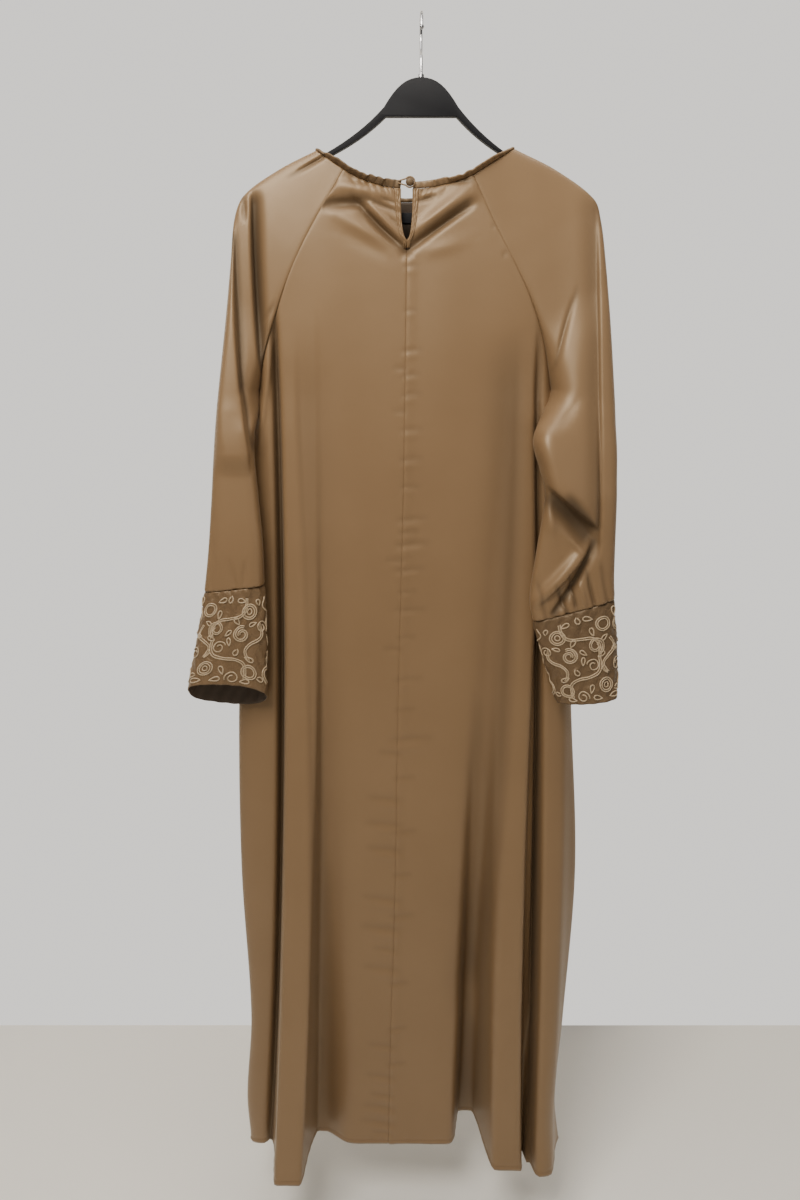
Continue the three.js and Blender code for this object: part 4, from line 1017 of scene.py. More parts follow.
@dataclass(frozen=True)
class Satin:
    """Bronze satin: a smooth float face with a fine slanting weave, faint slubs and a broad soft gloss."""

    name: str = "bronze_satin"
    light: Colour = (0.205, 0.126, 0.064)
    dark: Colour = (0.160, 0.095, 0.046)
    thread: Colour = (0.080, 0.046, 0.022)
    shadow: Colour = (0.022, 0.013, 0.007)
    gloss: Colour = (1.0, 0.84, 0.62)
    roughness: float = 0.40
    hem_stitch: bool = False
    crumple: float = 0.0

    def make(self) -> bpy.types.Material:
        """Builds the material.

        Colour drifts between two shades by a soft noise and by slubs drawn out along the warp. The weave is
        crossed waves of the UV map. Where it has a hem, the hem's stitches are short sunk dashes, read from
        the distance up from the hem. Painted shade darkens the colour towards the shadow colour and roughens
        it, as much as the piece's painted-shade attribute says.

        Returns:
            The material.
        """
        n = Nodes(self.name)
        uv, place = n.cloth(), n.place()
        drift = n.noise(place, 9.0, 3.0)
        slub = n.noise(n.stretched(uv, (2600.0, 160.0, 1.0)), 1.0, 2.0, Roughness=0.6)
        weave = n.add("ShaderNodeTexWave", Scale=0.5, Distortion=0.6, Detail=1.0)
        n.link(n.stretched(uv, (1800.0, 1800.0, 1.0), 24.0), weave.inputs["Vector"])
        shade = n.math("MULTIPLY_ADD", drift, 0.7, n.math("MULTIPLY", slub, 0.3))
        colour = n.blend(self.dark, self.light, shade)
        fine = n.math("ADD", n.math("MULTIPLY", weave.outputs["Fac"], 0.6), slub)
        normal = n.bump(fine, 0.22, 0.00012)
        normal = n.bump(n.noise(place, 30.0, 2.0, Roughness=0.4), 0.35, 0.0008, normal)
        if self.crumple:
            crush = n.noise(place, 95.0, 2.5, Roughness=0.55, Distortion=0.6)
            normal = n.bump(crush, 0.7, 0.003 * self.crumple, normal)
        if self.hem_stitch:
            up = n.add("ShaderNodeAttribute", attribute_name="up_mm").outputs["Fac"]
            split = n.add("ShaderNodeSeparateXYZ")
            n.link(uv, split.inputs["Vector"])
            dash = n.math("LESS_THAN", n.math("FRACT", n.math("MULTIPLY", split.outputs["X"], 370.0)), 0.7)
            stitch = n.math("MULTIPLY", n.math("COMPARE", up, HEM_ROLL, 0.4), dash)
            normal = n.bump(n.math("SUBTRACT", 1.0, stitch), 0.6, 0.0004, normal)
            colour = n.blend(self.dark, self.thread, n.math("MULTIPLY", stitch, 0.6), colour)
        # Painted shade: darker towards the shadow colour, and rougher, in folds and other shaded places
        inside = n.add("ShaderNodeAttribute", attribute_name="painted_shade").outputs["Fac"]
        colour = n.blend(self.dark, self.shadow, inside, colour)
        rough = n.math("MULTIPLY_ADD", slub, 0.08, self.roughness - 0.04)
        rough = n.math("ADD", rough, n.math("MULTIPLY", inside, 0.25))
        return n.finish(
            colour, normal, rough, Specular_IOR_Level=0.60, Sheen_Weight=0.06, Sheen_Roughness=0.4,
            Sheen_Tint=(*self.gloss, 1.0), Specular_Tint=(*self.gloss, 1.0),
        )


@dataclass(frozen=True)
class SatinBackPaintedShade:
    """The wrong side of the satin, seen only down the neck, the slit and the cuffs: dull, and darkened with
    painted shade.
    """

    name: str = "satin_back_painted_shade"
    # Dark colours: painted shade for the garment's inside
    light: Colour = (0.062, 0.038, 0.021)
    dark: Colour = (0.042, 0.026, 0.014)

    def make(self) -> bpy.types.Material:
        """Builds the material: two dark shades by a soft noise, with a fine grain."""
        n = Nodes(self.name)
        place = n.place()
        drift = n.noise(place, 14.0, 3.0)
        rough = n.math("MULTIPLY_ADD", drift, 0.1, 0.72)
        grain = n.bump(n.noise(place, 1200.0), 0.2, 0.0001)
        return n.finish(n.blend(self.dark, self.light, drift), grain, rough)


def line_with(obj: bpy.types.Object, back: bpy.types.Material) -> None:
    """Gives a cloth wall its wrong side: the inner face of its Solidify wall takes the second material."""
    obj.data.materials.append(back)
    obj.modifiers["wall"].material_offset = 1


@dataclass(frozen=True)
class Cord:
    """Twisted embroidery cord: slanting ridges along its length, a shade lighter than the satin."""

    name: str = "couched_cord"
    colour: Colour = (0.47, 0.35, 0.21)
    # Painted shade in the grooves between the twists
    groove: Colour = (0.20, 0.125, 0.062)
    twist: float = 620.0

    def make(self) -> bpy.types.Material:
        """Builds the material: a slanted wave of the UV map gives both the twist's bump and its painted shade,
        darker in the grooves.
        """
        n = Nodes(self.name)
        split = n.add("ShaderNodeSeparateXYZ")
        n.link(n.cloth(), split.inputs["Vector"])
        around = n.math("MULTIPLY", split.outputs["X"], 100.0)
        turn = n.math("MULTIPLY_ADD", split.outputs["Y"], self.twist, around)
        ridge = n.math("ABSOLUTE", n.math("SINE", n.math("MULTIPLY", turn, math.pi)))
        colour = n.blend(self.groove, self.colour, n.math("POWER", ridge, 0.6))
        rough = n.math("MULTIPLY_ADD", ridge, -0.08, 0.36)
        return n.finish(colour, n.bump(ridge, 0.6, 0.0004), rough, Sheen_Weight=0.2)


@dataclass(frozen=True)
class Plastic:
    """Moulded black plastic: a fine pebbled skin and faint rubbed lighter patches."""

    name: str = "black_plastic"
    dark: Colour = (0.002, 0.002, 0.003)
    rubbed: Colour = (0.005, 0.005, 0.007)

    def make(self) -> bpy.types.Material:
        """Builds the material from two noises on object coordinates."""
        n = Nodes(self.name)
        place = n.place()
        worn = n.noise(place, 40.0, 4.0, Roughness=0.6)
        rough = n.math("MULTIPLY_ADD", worn, 0.16, 0.48)
        return n.finish(
            n.blend(self.dark, self.rubbed, worn), n.bump(n.noise(place, 900.0), 0.3, 0.0002), rough,
            Specular_IOR_Level=0.2,
        )


@dataclass(frozen=True)
class Steel:
    """Plated wire: grey, with fine scratches drawn along it."""

    name: str = "plated_wire"
    bright: Colour = (0.34, 0.34, 0.35)
    dull: Colour = (0.26, 0.26, 0.27)

    def make(self) -> bpy.types.Material:
        """Builds the material from a noise drawn out down the wire."""
        n = Nodes(self.name)
        scratch = n.noise(n.stretched(n.place(), (2200.0, 2200.0, 120.0)), 1.0, 3.0)
        rough = n.math("MULTIPLY_ADD", scratch, 0.14, 0.2)
        colour = n.blend(self.dull, self.bright, scratch)
        return n.finish(colour, n.bump(scratch, 0.2, 0.0001), rough, Metallic=1.0)


@dataclass(frozen=True)
class Plaster:
    """A pale, slightly uneven backdrop."""

    name: str = "pale_plaster"
    colour: Colour = (0.90, 0.87, 0.81)

    def make(self) -> bpy.types.Material:
        """Builds the material: one pale colour with a very soft drift."""
        n = Nodes(self.name)
        place = n.place()
        drift = n.noise(place, 1.3)
        shade = tuple(0.94 * c for c in self.colour)
        rough = n.math("MULTIPLY_ADD", drift, 0.1, 0.7)
        return n.finish(n.blend(shade, self.colour, drift), n.bump(n.noise(place, 60.0), 0.1, 0.0005), rough)


# The parts


def finish_piece(
    obj: bpy.types.Object, material: bpy.types.Material, slot: str, *nodes: str
) -> bpy.types.Object:
    """Dresses a piece, lets it ride on the body and hides the solids it stands for."""
    obj.data.materials.append(material)
    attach(obj, "root")
    if nodes:
        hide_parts(*nodes)
    log.info("%s: %d faces", obj.name, len(obj.data.polygons))
    return obj


@dataclass
class Body:
    """The two near panels and the far one, with the keyhole between the near ones."""

    material: bpy.types.Material
    keyhole_rows: int = 34
    yoke_rows: int = 70
    skirt_rows: int = 326
    near_columns: int = 100
    far_rows: tuple[int, int] = (90, 210)
    far_columns: int = 66
    sink: float = 0.4
    edges: dict[str, Array] = field(default_factory=dict)

    def rows(self) -> Array:
        """The near levels, one of them at the keyhole's bottom."""
        keyhole = np.linspace(0, KEYHOLE_BOTTOM, self.keyhole_rows)
        yoke = np.linspace(KEYHOLE_BOTTOM, 1, self.yoke_rows + 1)[1:]
        skirt = np.linspace(1, 2, self.skirt_rows + 1)[1:]
        return np.concatenate([keyhole, yoke, skirt])[:, None]

    def slit(self, t: Array) -> Array:
        """Half the width left open for the keyhole and its bound strips."""
        return np.where(t <= KEYHOLE_BOTTOM, Keyhole.opening(t) + Keyhole.strip(t) + 0.1, 0.05)

    def near(self, side: Side) -> bpy.types.Object:
        """One near panel: rows from the centre seam to the raglan or side seam, sunk a little at both."""
        t = self.rows()
        span = half_width(side, t)

        def surface(rows: Array, shares: Array) -> Array:
            return body_surface(Face.NEAR, side, rows, shares)

        w = even_shares(surface, t, self.slit(t) / span, self.near_columns, (True, True), crowd=1.3)
        points = surface(t, w)
        reach = distances(points)
        from_centre = np.where(t <= KEYHOLE_BOTTOM, 99.0, reach)
        sunk = self.sink * (bell(from_centre / 1.1) + bell((reach[:, -1:] - reach) / 1.1))
        points = points - grid_normals(points, side.turn) * sunk[..., None]
        points = hemmed(points, grid_normals(points, side.turn))
        self.edges[f"near_{side.value}"] = points[0]
        # Painted shade in the folds, carried on the cloth as an attribute
        sheet = Sheet(f"back_panel_{side.value}_cloth", points, side.turn, painted_shades=painted_shade("near", points))
        return finish_piece(sheet.build(), self.material, "satin", f"back_panel_{side.value}")

    def far(self) -> bpy.types.Object:
        """The far panel: its two halves joined at the centre line with no seam there."""
        yoke, skirt = self.far_rows
        t = np.concatenate([np.linspace(0, 1, yoke), np.linspace(1, 2, skirt + 1)[1:]])[:, None]
        halves = []
        for side in Side:

            def surface(rows: Array, shares: Array, side: Side = side) -> Array:
                return body_surface(Face.FAR, side, rows, shares)

            w = even_shares(surface, t, 0 * t, self.far_columns, (False, True))
            halves.append(surface(t, w))
        points = np.concatenate([halves[0][:, ::-1], halves[1][:, 1:]], axis=1)
        reach = distances(points)
        seam = np.minimum(reach, reach[:, -1:] - reach)
        points = points - grid_normals(points, -1.0) * (self.sink * bell(seam / 1.5))[..., None]
        points = hemmed(points, grid_normals(points, -1.0))
        self.edges["far"] = points[0]
        sheet = Sheet("front_panel_cloth", points, -1.0)
        return finish_piece(sheet.build(), self.material, "satin", "front_panel")


def hemmed(points: Array, normals: Array) -> Array:
    """Rolls the hem: a swelling as high as the roll, a groove above it, and small uneven ripples along it."""
    up = down_columns(points)
    up = up[-1:] - up
    along = distances(points)
    roll = 0.8 * np.sqrt(np.clip(1 - (2 * up / HEM_ROLL - 1) ** 2, 0, 1))
    groove = -0.5 * bell((up - HEM_ROLL - 0.8) / 1.4)
    ripple = 0.35 * np.sin(along / 3.1 + 1.7 * np.sin(along / 21)) + 0.3 * np.sin(along / 7.3)
    puckered = ripple * bell((up - HEM_ROLL) / 5.5)
    return points + normals * (roll + groove + puckered)[..., None]


@dataclass
class Sleeves:
    """The raglan sleeves, from the neck down to the cuffs."""

    material: bpy.types.Material
    cap_rows: int = 110
    arm_rows: int = 105
    columns: int = 62
    sink: float = 0.4
    edges: dict[str, Array] = field(default_factory=dict)

    def build(self, side: Side) -> bpy.types.Object:
        """One sleeve: an open cap over the shoulder that closes to a tube below the underarm."""
        cap, arm = np.linspace(0, 1, self.cap_rows), np.linspace(1, 2, self.arm_rows + 1)[1:]
        t = np.concatenate([cap, arm])[:, None]
        halves = []
        for face in Face:

            def surface(rows: Array, shares: Array, face: Face = face) -> Array:
                return sleeve_surface(face, side, rows, shares)

            w = even_shares(surface, t, 0 * t, self.columns, (True, False))
            halves.append(surface(t, w))
        points = np.concatenate([halves[0], halves[1][:, ::-1][:, 1:]], axis=1)
        reach = distances(points)
        seam = np.minimum(reach, reach[:, -1:] - reach)
        under = smooth((t - 1.0) / 0.04)
        down = down_columns(points)
        up = down[-1:] - down
        sunk = self.sink * bell(seam / 1.5) * (1 - 0.8 * under) + self.sink * bell(up / 1.6)
        along = reach + 3.0 * np.sin(reach / 17)
        gathers = 0.35 * np.sin(along / 2.6) * bell(up / 9) * smooth(up / 3)
        points = points + grid_normals(points, side.turn) * (gathers - sunk)[..., None]
        self.edges[f"sleeve_{side.value}"] = points[0]
        # Painted shade in the folds of the near face only
        near = np.arange(points.shape[1])[None, :] < self.columns
        dark = np.where(near, painted_shade(f"near sleeve {side.value}", points), 0.0)
        sheet = Sheet(f"sleeve_{side.value}_cloth", points, side.turn, self.cap_rows - 1, painted_shades=dark)
        return finish_piece(sheet.build(), self.material, "satin", f"sleeve_{side.value}")


@dataclass
class Keyhole:
    """The bound slit under the button."""

    material: bpy.types.Material
    rows: int = 60
    columns: int = 15

    @staticmethod
    def opening(t: Array) -> Array:
        """Half the width of the open slit: an arch that narrows towards its tip."""
        return KEYHOLE_OPENING * arch(np.clip(t / KEYHOLE_TIP, 0, 1) ** 1.5, 2) + SEAM

    @staticmethod
    def strip(t: Array) -> Array:
        """The width of a bound strip, narrower towards the bottom."""
        return mix(KEYHOLE_STRIP[0], KEYHOLE_STRIP[1], np.clip(t / KEYHOLE_BOTTOM, 0, 1))

    def build(self, side: Side) -> bpy.types.Object:
        """One strip: a folded band with narrow ridges that wander along it."""
        t = np.linspace(0, KEYHOLE_BOTTOM, self.rows)[:, None]
        s = np.linspace(0, 1, self.columns)[None, :]
        span = half_width(side, t)
        points = body_surface(Face.NEAR, side, t, (self.opening(t) + self.strip(t) * s) / span)
        round_it = np.sqrt(np.clip(1 - (2 * s - 1) ** 2, 0, 1))
        wander = 9.0 * t / KEYHOLE_BOTTOM * side.turn + 1.3 * np.sin(t * 61)
        ridges = 0.5 * np.cos(4.4 * np.pi * s + wander) + 0.18 * np.sin(t * 210 + 5 * s)
        full = round_it * (1.25 + ridges)
        points = points + grid_normals(points, side.turn) * (full + 0.15)[..., None]
        sheet = Sheet(f"keyhole_binding_{side.value}_band", points, side.turn, thick=1.0)
        return finish_piece(sheet.build(), self.material, "satin", f"keyhole_binding_{side.value}")


@dataclass
class Neck:
    """The binding round the neck, and the button and loop over the slit."""

    material: bpy.types.Material
    height: float = 9.5
    far_height: float = 5.0
    corner_drop: float = 0.7
    thick: float = 3.0
    steps: int = 460

    def route(self, body: Body, sleeves: Sleeves) -> tuple[Array, Array]:
        """The cloth's top edge, from one side of the slit round to the other, and the distance along it."""
        ends = {}
        for side in Side:
            span = float(half_width(side, np.array(0.0)))
            inner = float(Keyhole.opening(np.array(0.0)))
            w = np.linspace(inner + SEAM, inner + KEYHOLE_STRIP[0], 8) / span
            ends[side] = body_surface(Face.NEAR, side, np.zeros(8), w)
        path = np.vstack(
            [
                ends[Side.LEFT],
                body.edges["near_left"][:-1],
                sleeves.edges["sleeve_left"],
                body.edges["far"][1:-1],
                sleeves.edges["sleeve_right"][::-1],
                body.edges["near_right"][::-1][1:],
                ends[Side.RIGHT][::-1],
            ]
        )
        run = np.concatenate([[0.0], np.cumsum(np.linalg.norm(np.diff(path, axis=0), axis=1))])
        at = np.linspace(0, run[-1], self.steps)
        path = np.stack([np.interp(at, run, path[:, i]) for i in range(3)], axis=-1)
        kernel = np.hanning(11) / np.hanning(11).sum()
        padded = np.pad(path, ((5, 5), (0, 0)), mode="edge")
        soft = np.stack([np.convolve(padded[:, i], kernel, "valid") for i in range(3)], axis=-1)
        soft[:6], soft[-6:] = path[:6], path[-6:]
        return soft, at

    def binding(self, body: Body, sleeves: Sleeves) -> bpy.types.Object:
        """The folded band on the cloth's top edge, gathered on its left and flatter on its right."""
        soft, at = self.route(body, sleeves)
        ahead = unit(np.gradient(soft, axis=0))
        away = soft - soft.mean(axis=0)
        away[:, 2] = 0
        up = unit(np.cross(ahead, unit(away)))
        up = up * np.sign(up[:, 2:3])
        out = unit(np.cross(up, ahead))
        out = out * np.sign((out * away).sum(axis=1, keepdims=True))
        up = unit(up - 0.12 * unit(away))
        turn = np.linspace(0, 2 * np.pi, 16, endpoint=False)
        share = at / at[-1]
        rightness = smooth((share - 0.5) * 8)[:, None]
        ruche = mix(0.13, 0.05, rightness)
        wrinkle = np.sin(at / 1.3 + 1.5 * np.sin(at / 9))[:, None] + 0.4 * np.sin(at / 3.1)[:, None]
        slant = np.sin(at[:, None] / 1.5 + turn[None, :])
        puff = 1 + ruche * (0.6 * wrinkle + 0.4 * slant)
        across = self.thick / 2 * np.sign(np.cos(turn)) * np.abs(np.cos(turn)) ** 0.75 * puff
        farness = smooth((soft[:, 1:2] + 4.0) / 10.0)
        middle, half = (soft[:, 0].max() + soft[:, 0].min()) / 2, np.ptp(soft[:, 0]) / 2
        corner = smooth((np.abs(soft[:, :1] - middle) / half - 0.78) / 0.22)
        tall = mix(self.height * mix(1.0, 0.84, rightness), self.far_height, farness) / 2
        tall = tall * (1 - self.corner_drop * corner)
        round_top = 1 + np.sign(np.sin(turn)) * np.abs(np.sin(turn)) ** 0.85
        rise = tall * round_top * (1 + 0.15 * (puff - 1)) + 0.2
        rings = soft[:, None] + across[..., None] * out[:, None] + rise[..., None] * up[:, None]
        obj = Skin.over(rings, at).build("neck_binding_band")
        # Painted shade: the band darkened, more on its left than its right, and more where it wrinkles
        shade = np.repeat(mix(0.5, 0.2, rightness[:, 0]), 16) + 0.12 * wrinkle.repeat(16, axis=1).reshape(-1)
        set_attribute(obj, "painted_shade", np.concatenate([np.clip(shade, 0, 1), [0.5, 0.5]]))
        return finish_piece(obj, self.material, "satin", "neck_binding")

    def button(self) -> bpy.types.Object:
        """The covered button: a domed disc with its cloth gathered under the rim."""
        low, high = np.array(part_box("button")) / MM
        middle = (low + high) / 2
        radius, thick = (high[0] - low[0]) / 2, high[1] - low[1]
        swing = mix(-0.42 * np.pi, 0.495 * np.pi, np.linspace(0, 1, 22)[:, None])
        turn = np.linspace(0, 2 * np.pi, 48, endpoint=False)[None, :]
        gathers = 1 - 0.03 * np.cos(11 * turn) * (0.3 + np.clip(-np.sin(swing), 0, 1))
        r = radius * np.cos(swing) ** 0.8 * gathers
        dome, under = np.sin(np.clip(swing, 0, None)), np.sin(np.clip(swing, None, 0))
        depth = thick * (0.32 + 0.68 * dome + 0.32 * under)
        x = middle[0] + r * np.cos(turn)
        z = middle[2] + r * np.sin(turn)
        rings = np.stack([x, high[1] - depth + 0 * turn, z], axis=-1)
        skin = Skin.over(rings, np.linspace(0, 12, 22))
        obj = skin.build("button_covered")
        # Painted shade: the whole button darkened evenly
        set_attribute(obj, "painted_shade", np.full(len(skin.points), 0.6))
        return finish_piece(obj, self.material, "satin", "button")

    def loop(self) -> bpy.types.Object:
        """The rouleau loop: a round cord from the left binding round the button and back."""
        low, high = np.array(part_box("button")) / MM
        middle, radius = (low + high) / 2, (high[0] - low[0]) / 2
        ring = radius + 1.05
        turn = np.radians(np.linspace(-142, 142, 40))
        y = high[1] - 0.9
        ring_x, ring_z = middle[0] + ring * np.cos(turn), middle[2] + ring * np.sin(turn)
        round_it = np.stack([ring_x, y + 0 * turn, ring_z], axis=-1)
        s = np.linspace(0, 1, 10, endpoint=False)[:, None]
        leg = np.array([middle[0] - radius - 9, y, middle[2] - 1.2])
        back = np.array([middle[0] - radius - 9, y, middle[2] + 1.2])
        path = np.vstack([mix(leg, round_it[0], s), round_it, mix(round_it[-1], back, s + 0.1)])
        out = np.tile([0.0, -1.0, 0.0], (len(path), 1))
        skin = carried(path, oval(1.8, 1.7, 10), out)
        return finish_piece(skin.build("button_loop_cord"), self.material, "satin", "button_loop")


# The size in millimetres from which a motif counts as large, and the points along a small and a large one
LARGE_MOTIF = 9.0
MOTIF_POINTS = (26, 44)


class Motif(Enum):
    """The shapes that the couched cord is laid in."""

    SPIRAL = "spiral"
    STEM = "stem"
    DROP = "drop"
    RING = "ring"
    TENDRIL = "tendril"


@dataclass(frozen=True)
class Laid:
    """A couched cord of one cuff.

    It has its motif, its middle on the cuff (share round, share down), its turn in degrees, its size in
    millimetres, whether it is mirrored, and how far apart a doubled cord's two strands lie.
    """

    motif: Motif
    around: float
    down: float
    turn: float
    size: float
    mirrored: bool = False
    apart: float = 0.0

    @property
    def closed(self) -> bool:
        """Whether the cord's end meets its start."""
        return self.motif in (Motif.RING, Motif.DROP)

    def line(self) -> Array:
        """The cord's line about its middle, in millimetres, as whole arrays of s from 0 to 1.

        A spiral's radius shrinks evenly by two thirds in one and a third turns. A stem is a slanting S, a
        sine across its length. A drop is a ring pinched to a point at one end. A tendril is a short spiral
        that starts straight.
        """
        s = np.linspace(0, 1, MOTIF_POINTS[self.size >= LARGE_MOTIF])
        angle = 2 * np.pi * s
        if self.motif is Motif.SPIRAL:
            radius = self.size * (1 - 0.68 * s)
            x, y = radius * np.cos(1.35 * angle), radius * np.sin(1.35 * angle)
        elif self.motif is Motif.STEM:
            x, y = self.size * (2 * s - 1), 0.26 * self.size * np.sin(angle) * (1 + 0.4 * s)
        elif self.motif is Motif.DROP:
            x = self.size * np.cos(angle)
            y = 0.62 * self.size * np.sin(angle) * np.sin(angle / 2)
        elif self.motif is Motif.RING:
            x, y = self.size * np.cos(angle), self.size * np.sin(angle)
        else:
            radius = self.size * (1 - 0.8 * s**0.7)
            x, y = radius * np.cos(0.8 * angle) + self.size * s, radius * np.sin(0.8 * angle)
        y = -y if self.mirrored else y
        c, n = math.cos(math.radians(self.turn)), math.sin(math.radians(self.turn))
        return np.stack([x * c - y * n, x * n + y * c], axis=-1)

    def strands(self) -> list[Array]:
        """The lines of its strands: one, or two set off to each side of the line."""
        line = self.line()
        if not self.apart:
            return [line]
        ahead = unit(np.gradient(line, axis=0))
        aside = np.stack([-ahead[:, 1], ahead[:, 0]], axis=-1)
        if self.closed:
            aside[0] = aside[-1] = unit(aside[0] + aside[-1])
        return [line + aside * self.apart / 2, line - aside * self.apart / 2]


# One half of a cuff: motif, share round, share down, turn, size, mirrored, strands apart
PANEL = (
    (Motif.STEM, 0.250, 0.30, 48, 34, False, 2.5),
    (Motif.STEM, 0.250, 0.72, 130, 34, True, 2.5),
    (Motif.STEM, 0.100, 0.55, 75, 24, False, 2.4),
    (Motif.STEM, 0.400, 0.52, 100, 22, True, 2.4),
    (Motif.STEM, 0.015, 0.25, 98, 18, True, 0.0),
    (Motif.STEM, 0.480, 0.30, 82, 17, False, 2.3),
    (Motif.STEM, 0.020, 0.76, 84, 18, False, 2.3),
    (Motif.STEM, 0.485, 0.78, 98, 18, True, 0.0),
    (Motif.RING, 0.130, 0.24, 0, 8.5, False, 2.5),
    (Motif.RING, 0.385, 0.19, 0, 7.5, False, 2.4),
    (Motif.RING, 0.360, 0.82, 0, 8.0, False, 2.4),
    (Motif.RING, 0.130, 0.85, 0, 7.5, False, 2.4),
    (Motif.RING, 0.130, 0.24, 0, 3.6, False, 0.0),
    (Motif.RING, 0.360, 0.82, 0, 3.4, False, 0.0),
    (Motif.SPIRAL, 0.330, 0.40, 70, 11.0, True, 2.4),
    (Motif.SPIRAL, 0.175, 0.47, 250, 10.5, False, 2.4),
    (Motif.SPIRAL, 0.300, 0.60, 200, 9.0, False, 0.0),
    (Motif.SPIRAL, 0.215, 0.92, 20, 8.5, True, 0.0),
    (Motif.SPIRAL, 0.055, 0.40, 140, 8.5, False, 0.0),
    (Motif.SPIRAL, 0.450, 0.64, 320, 8.5, True, 0.0),
    (Motif.TENDRIL, 0.235, 0.12, -60, 7.5, False, 0.0),
    (Motif.TENDRIL, 0.060, 0.13, 60, 7.0, True, 0.0),
    (Motif.TENDRIL, 0.440, 0.43, 120, 7.0, True, 0.0),
    (Motif.TENDRIL, 0.190, 0.68, -70, 7.5, False, 0.0),
    (Motif.TENDRIL, 0.440, 0.90, 210, 7.0, False, 0.0),
    (Motif.TENDRIL, 0.060, 0.92, -40, 7.0, True, 0.0),
    (Motif.DROP, 0.305, 0.10, 20, 6.0, False, 0.0),
    (Motif.DROP, 0.180, 0.12, 160, 5.5, False, 0.0),
    (Motif.DROP, 0.455, 0.10, 95, 5.5, False, 0.0),
    (Motif.DROP, 0.320, 0.25, 75, 5.5, False, 0.0),
    (Motif.DROP, 0.205, 0.33, 120, 5.5, False, 0.0),
    (Motif.DROP, 0.255, 0.45, 40, 5.0, False, 0.0),
    (Motif.DROP, 0.385, 0.33, -30, 5.0, False, 0.0),
    (Motif.DROP, 0.110, 0.37, 200, 5.0, False, 0.0),
    (Motif.DROP, 0.245, 0.54, 100, 5.0, False, 0.0),
    (Motif.DROP, 0.355, 0.50, 150, 5.0, False, 0.0),
    (Motif.DROP, 0.365, 0.66, 60, 5.5, False, 0.0),
    (Motif.DROP, 0.130, 0.72, -20, 5.5, False, 0.0),
    (Motif.DROP, 0.270, 0.84, 110, 5.5, False, 0.0),
    (Motif.DROP, 0.300, 0.94, 15, 6.0, False, 0.0),
    (Motif.DROP, 0.400, 0.94, 172, 6.0, False, 0.0),
    (Motif.DROP, 0.150, 0.95, 10, 5.5, False, 0.0),
    (Motif.DROP, 0.000, 0.52, 90, 5.5, False, 0.0),
)


@dataclass
class Cuffs:
    """The flared cuffs, their turned rims and their couched embroidery."""

    satin: bpy.types.Material
    cord: bpy.types.Material
    rows: int = 68
    columns: int = 72
    thick: float = 1.2
    cord_width: float = 1.7
    cord_high: float = 1.5
    plain_top: float = 6.5
    # Painted shade: each cuff's cloth darkened evenly, the right one more, as less light falls on it
    shades: dict[Side, float] = field(default_factory=lambda: {Side.LEFT: 0.15, Side.RIGHT: 0.38})
    worked: dict[Side, bpy.types.Object] = field(default_factory=dict)

    def grid(self, side: Side) -> Array:
        """The cuff's points, a ring to a row, its first column again as its last."""
        t = np.linspace(0, 1, self.rows)[:, None]
        halves = []
        for face in Face:

            def surface(rows: Array, shares: Array, face: Face = face) -> Array:
                return cuff_surface(face, side, rows, shares)

            w = even_shares(surface, t, 0 * t, self.columns, (False, False))
            halves.append(surface(t, w))
        return np.concatenate([halves[0], halves[1][:, ::-1][:, 1:]], axis=1)

    def build(self, side: Side) -> bpy.types.Object:
        """The cuff's cloth: softly quilted by its embroidery, uneven at its rim, its seam sunk."""
        points = self.grid(side)
        rows, columns = points.shape[:2]
        down = np.linspace(0, 1, rows)[:, None]
        around = np.linspace(0, 2 * np.pi, columns)[None, :]
        normals = grid_normals(points, side.turn)
        swell = 1.1 * np.sin(5 * around + 7 * down) * np.sin(9 * down)
        swell = swell + np.sin(14 * around + 3 * np.sin(8 * down)) * np.sin(19 * down + around)
        swell = swell + 1.6 * np.sin(3 * around + 1.1) * smooth((down - 0.6) / 0.4)
        swell = swell - 0.8 * bell(down * 60) + 0.5 * bell((down - 0.99) * 60)
        points = points + normals * swell[..., None]
        # Painted shade, even over the whole cuff
        shade = np.full((rows, columns), self.shades[side])
        sheet = Sheet(f"cuff_{side.value}_cloth", points, side.turn, 0, self.thick, shade)
        obj = finish_piece(sheet.build(), self.satin, "satin", f"cuff_{side.value}")
        self.worked[side] = self.embroider(side, points)
        return obj

    def embroider(self, side: Side, points: Array) -> bpy.types.Object:
        """Lays the cords on the cuff.

        A strand's place is a share of the way round and down; its points and outward directions are read off
        the cuff's grid between its nearest four points.

        Args:
            side: which cuff.
            points: the cuff's grid.

        Returns:
            All the cords as one piece.
        """
        rows, columns = points.shape[:2]
        normals = grid_normals(points, side.turn)
        middle = points[rows // 2]
        round_it = np.linalg.norm(np.diff(middle, axis=0), axis=1).sum()
        high = np.linalg.norm(np.diff(points[:, columns // 4], axis=0), axis=1).sum()
        section = oval(self.cord_width, self.cord_high, 6, CLOTH / 2 + self.cord_high / 2 - 0.2)
        skins = []
        for laid in (Laid(m, a + half, d, *rest) for half in (0.0, 0.5) for m, a, d, *rest in PANEL):
            for line in laid.strands():
                a = (laid.around + line[:, 0] / round_it) % 1.0 * (columns - 1)
                b = np.clip(laid.down + line[:, 1] / high, self.plain_top / high, 0.985) * (rows - 1)
                i, j = np.minimum(b.astype(int), rows - 2), np.minimum(a.astype(int), columns - 2)
                u, v = (a - j)[:, None], (b - i)[:, None]
                path, out = (
                    mix(mix(g[i, j], g[i, j + 1], u), mix(g[i + 1, j], g[i + 1, j + 1], u), v)
                    for g in (points, normals)
                )
                if laid.closed:
                    path, out = path[:-1], out[:-1]
                skins.append(carried(path, section, out, laid.closed))
        obj = Skin.joined(skins).build(f"cuff_{side.value}_embroidery")
        plain = [name for name in frame["nodes"] if name.startswith(f"cuff_{side.value}_cord_")]
        return finish_piece(obj, self.cord, "embroidery", *plain)


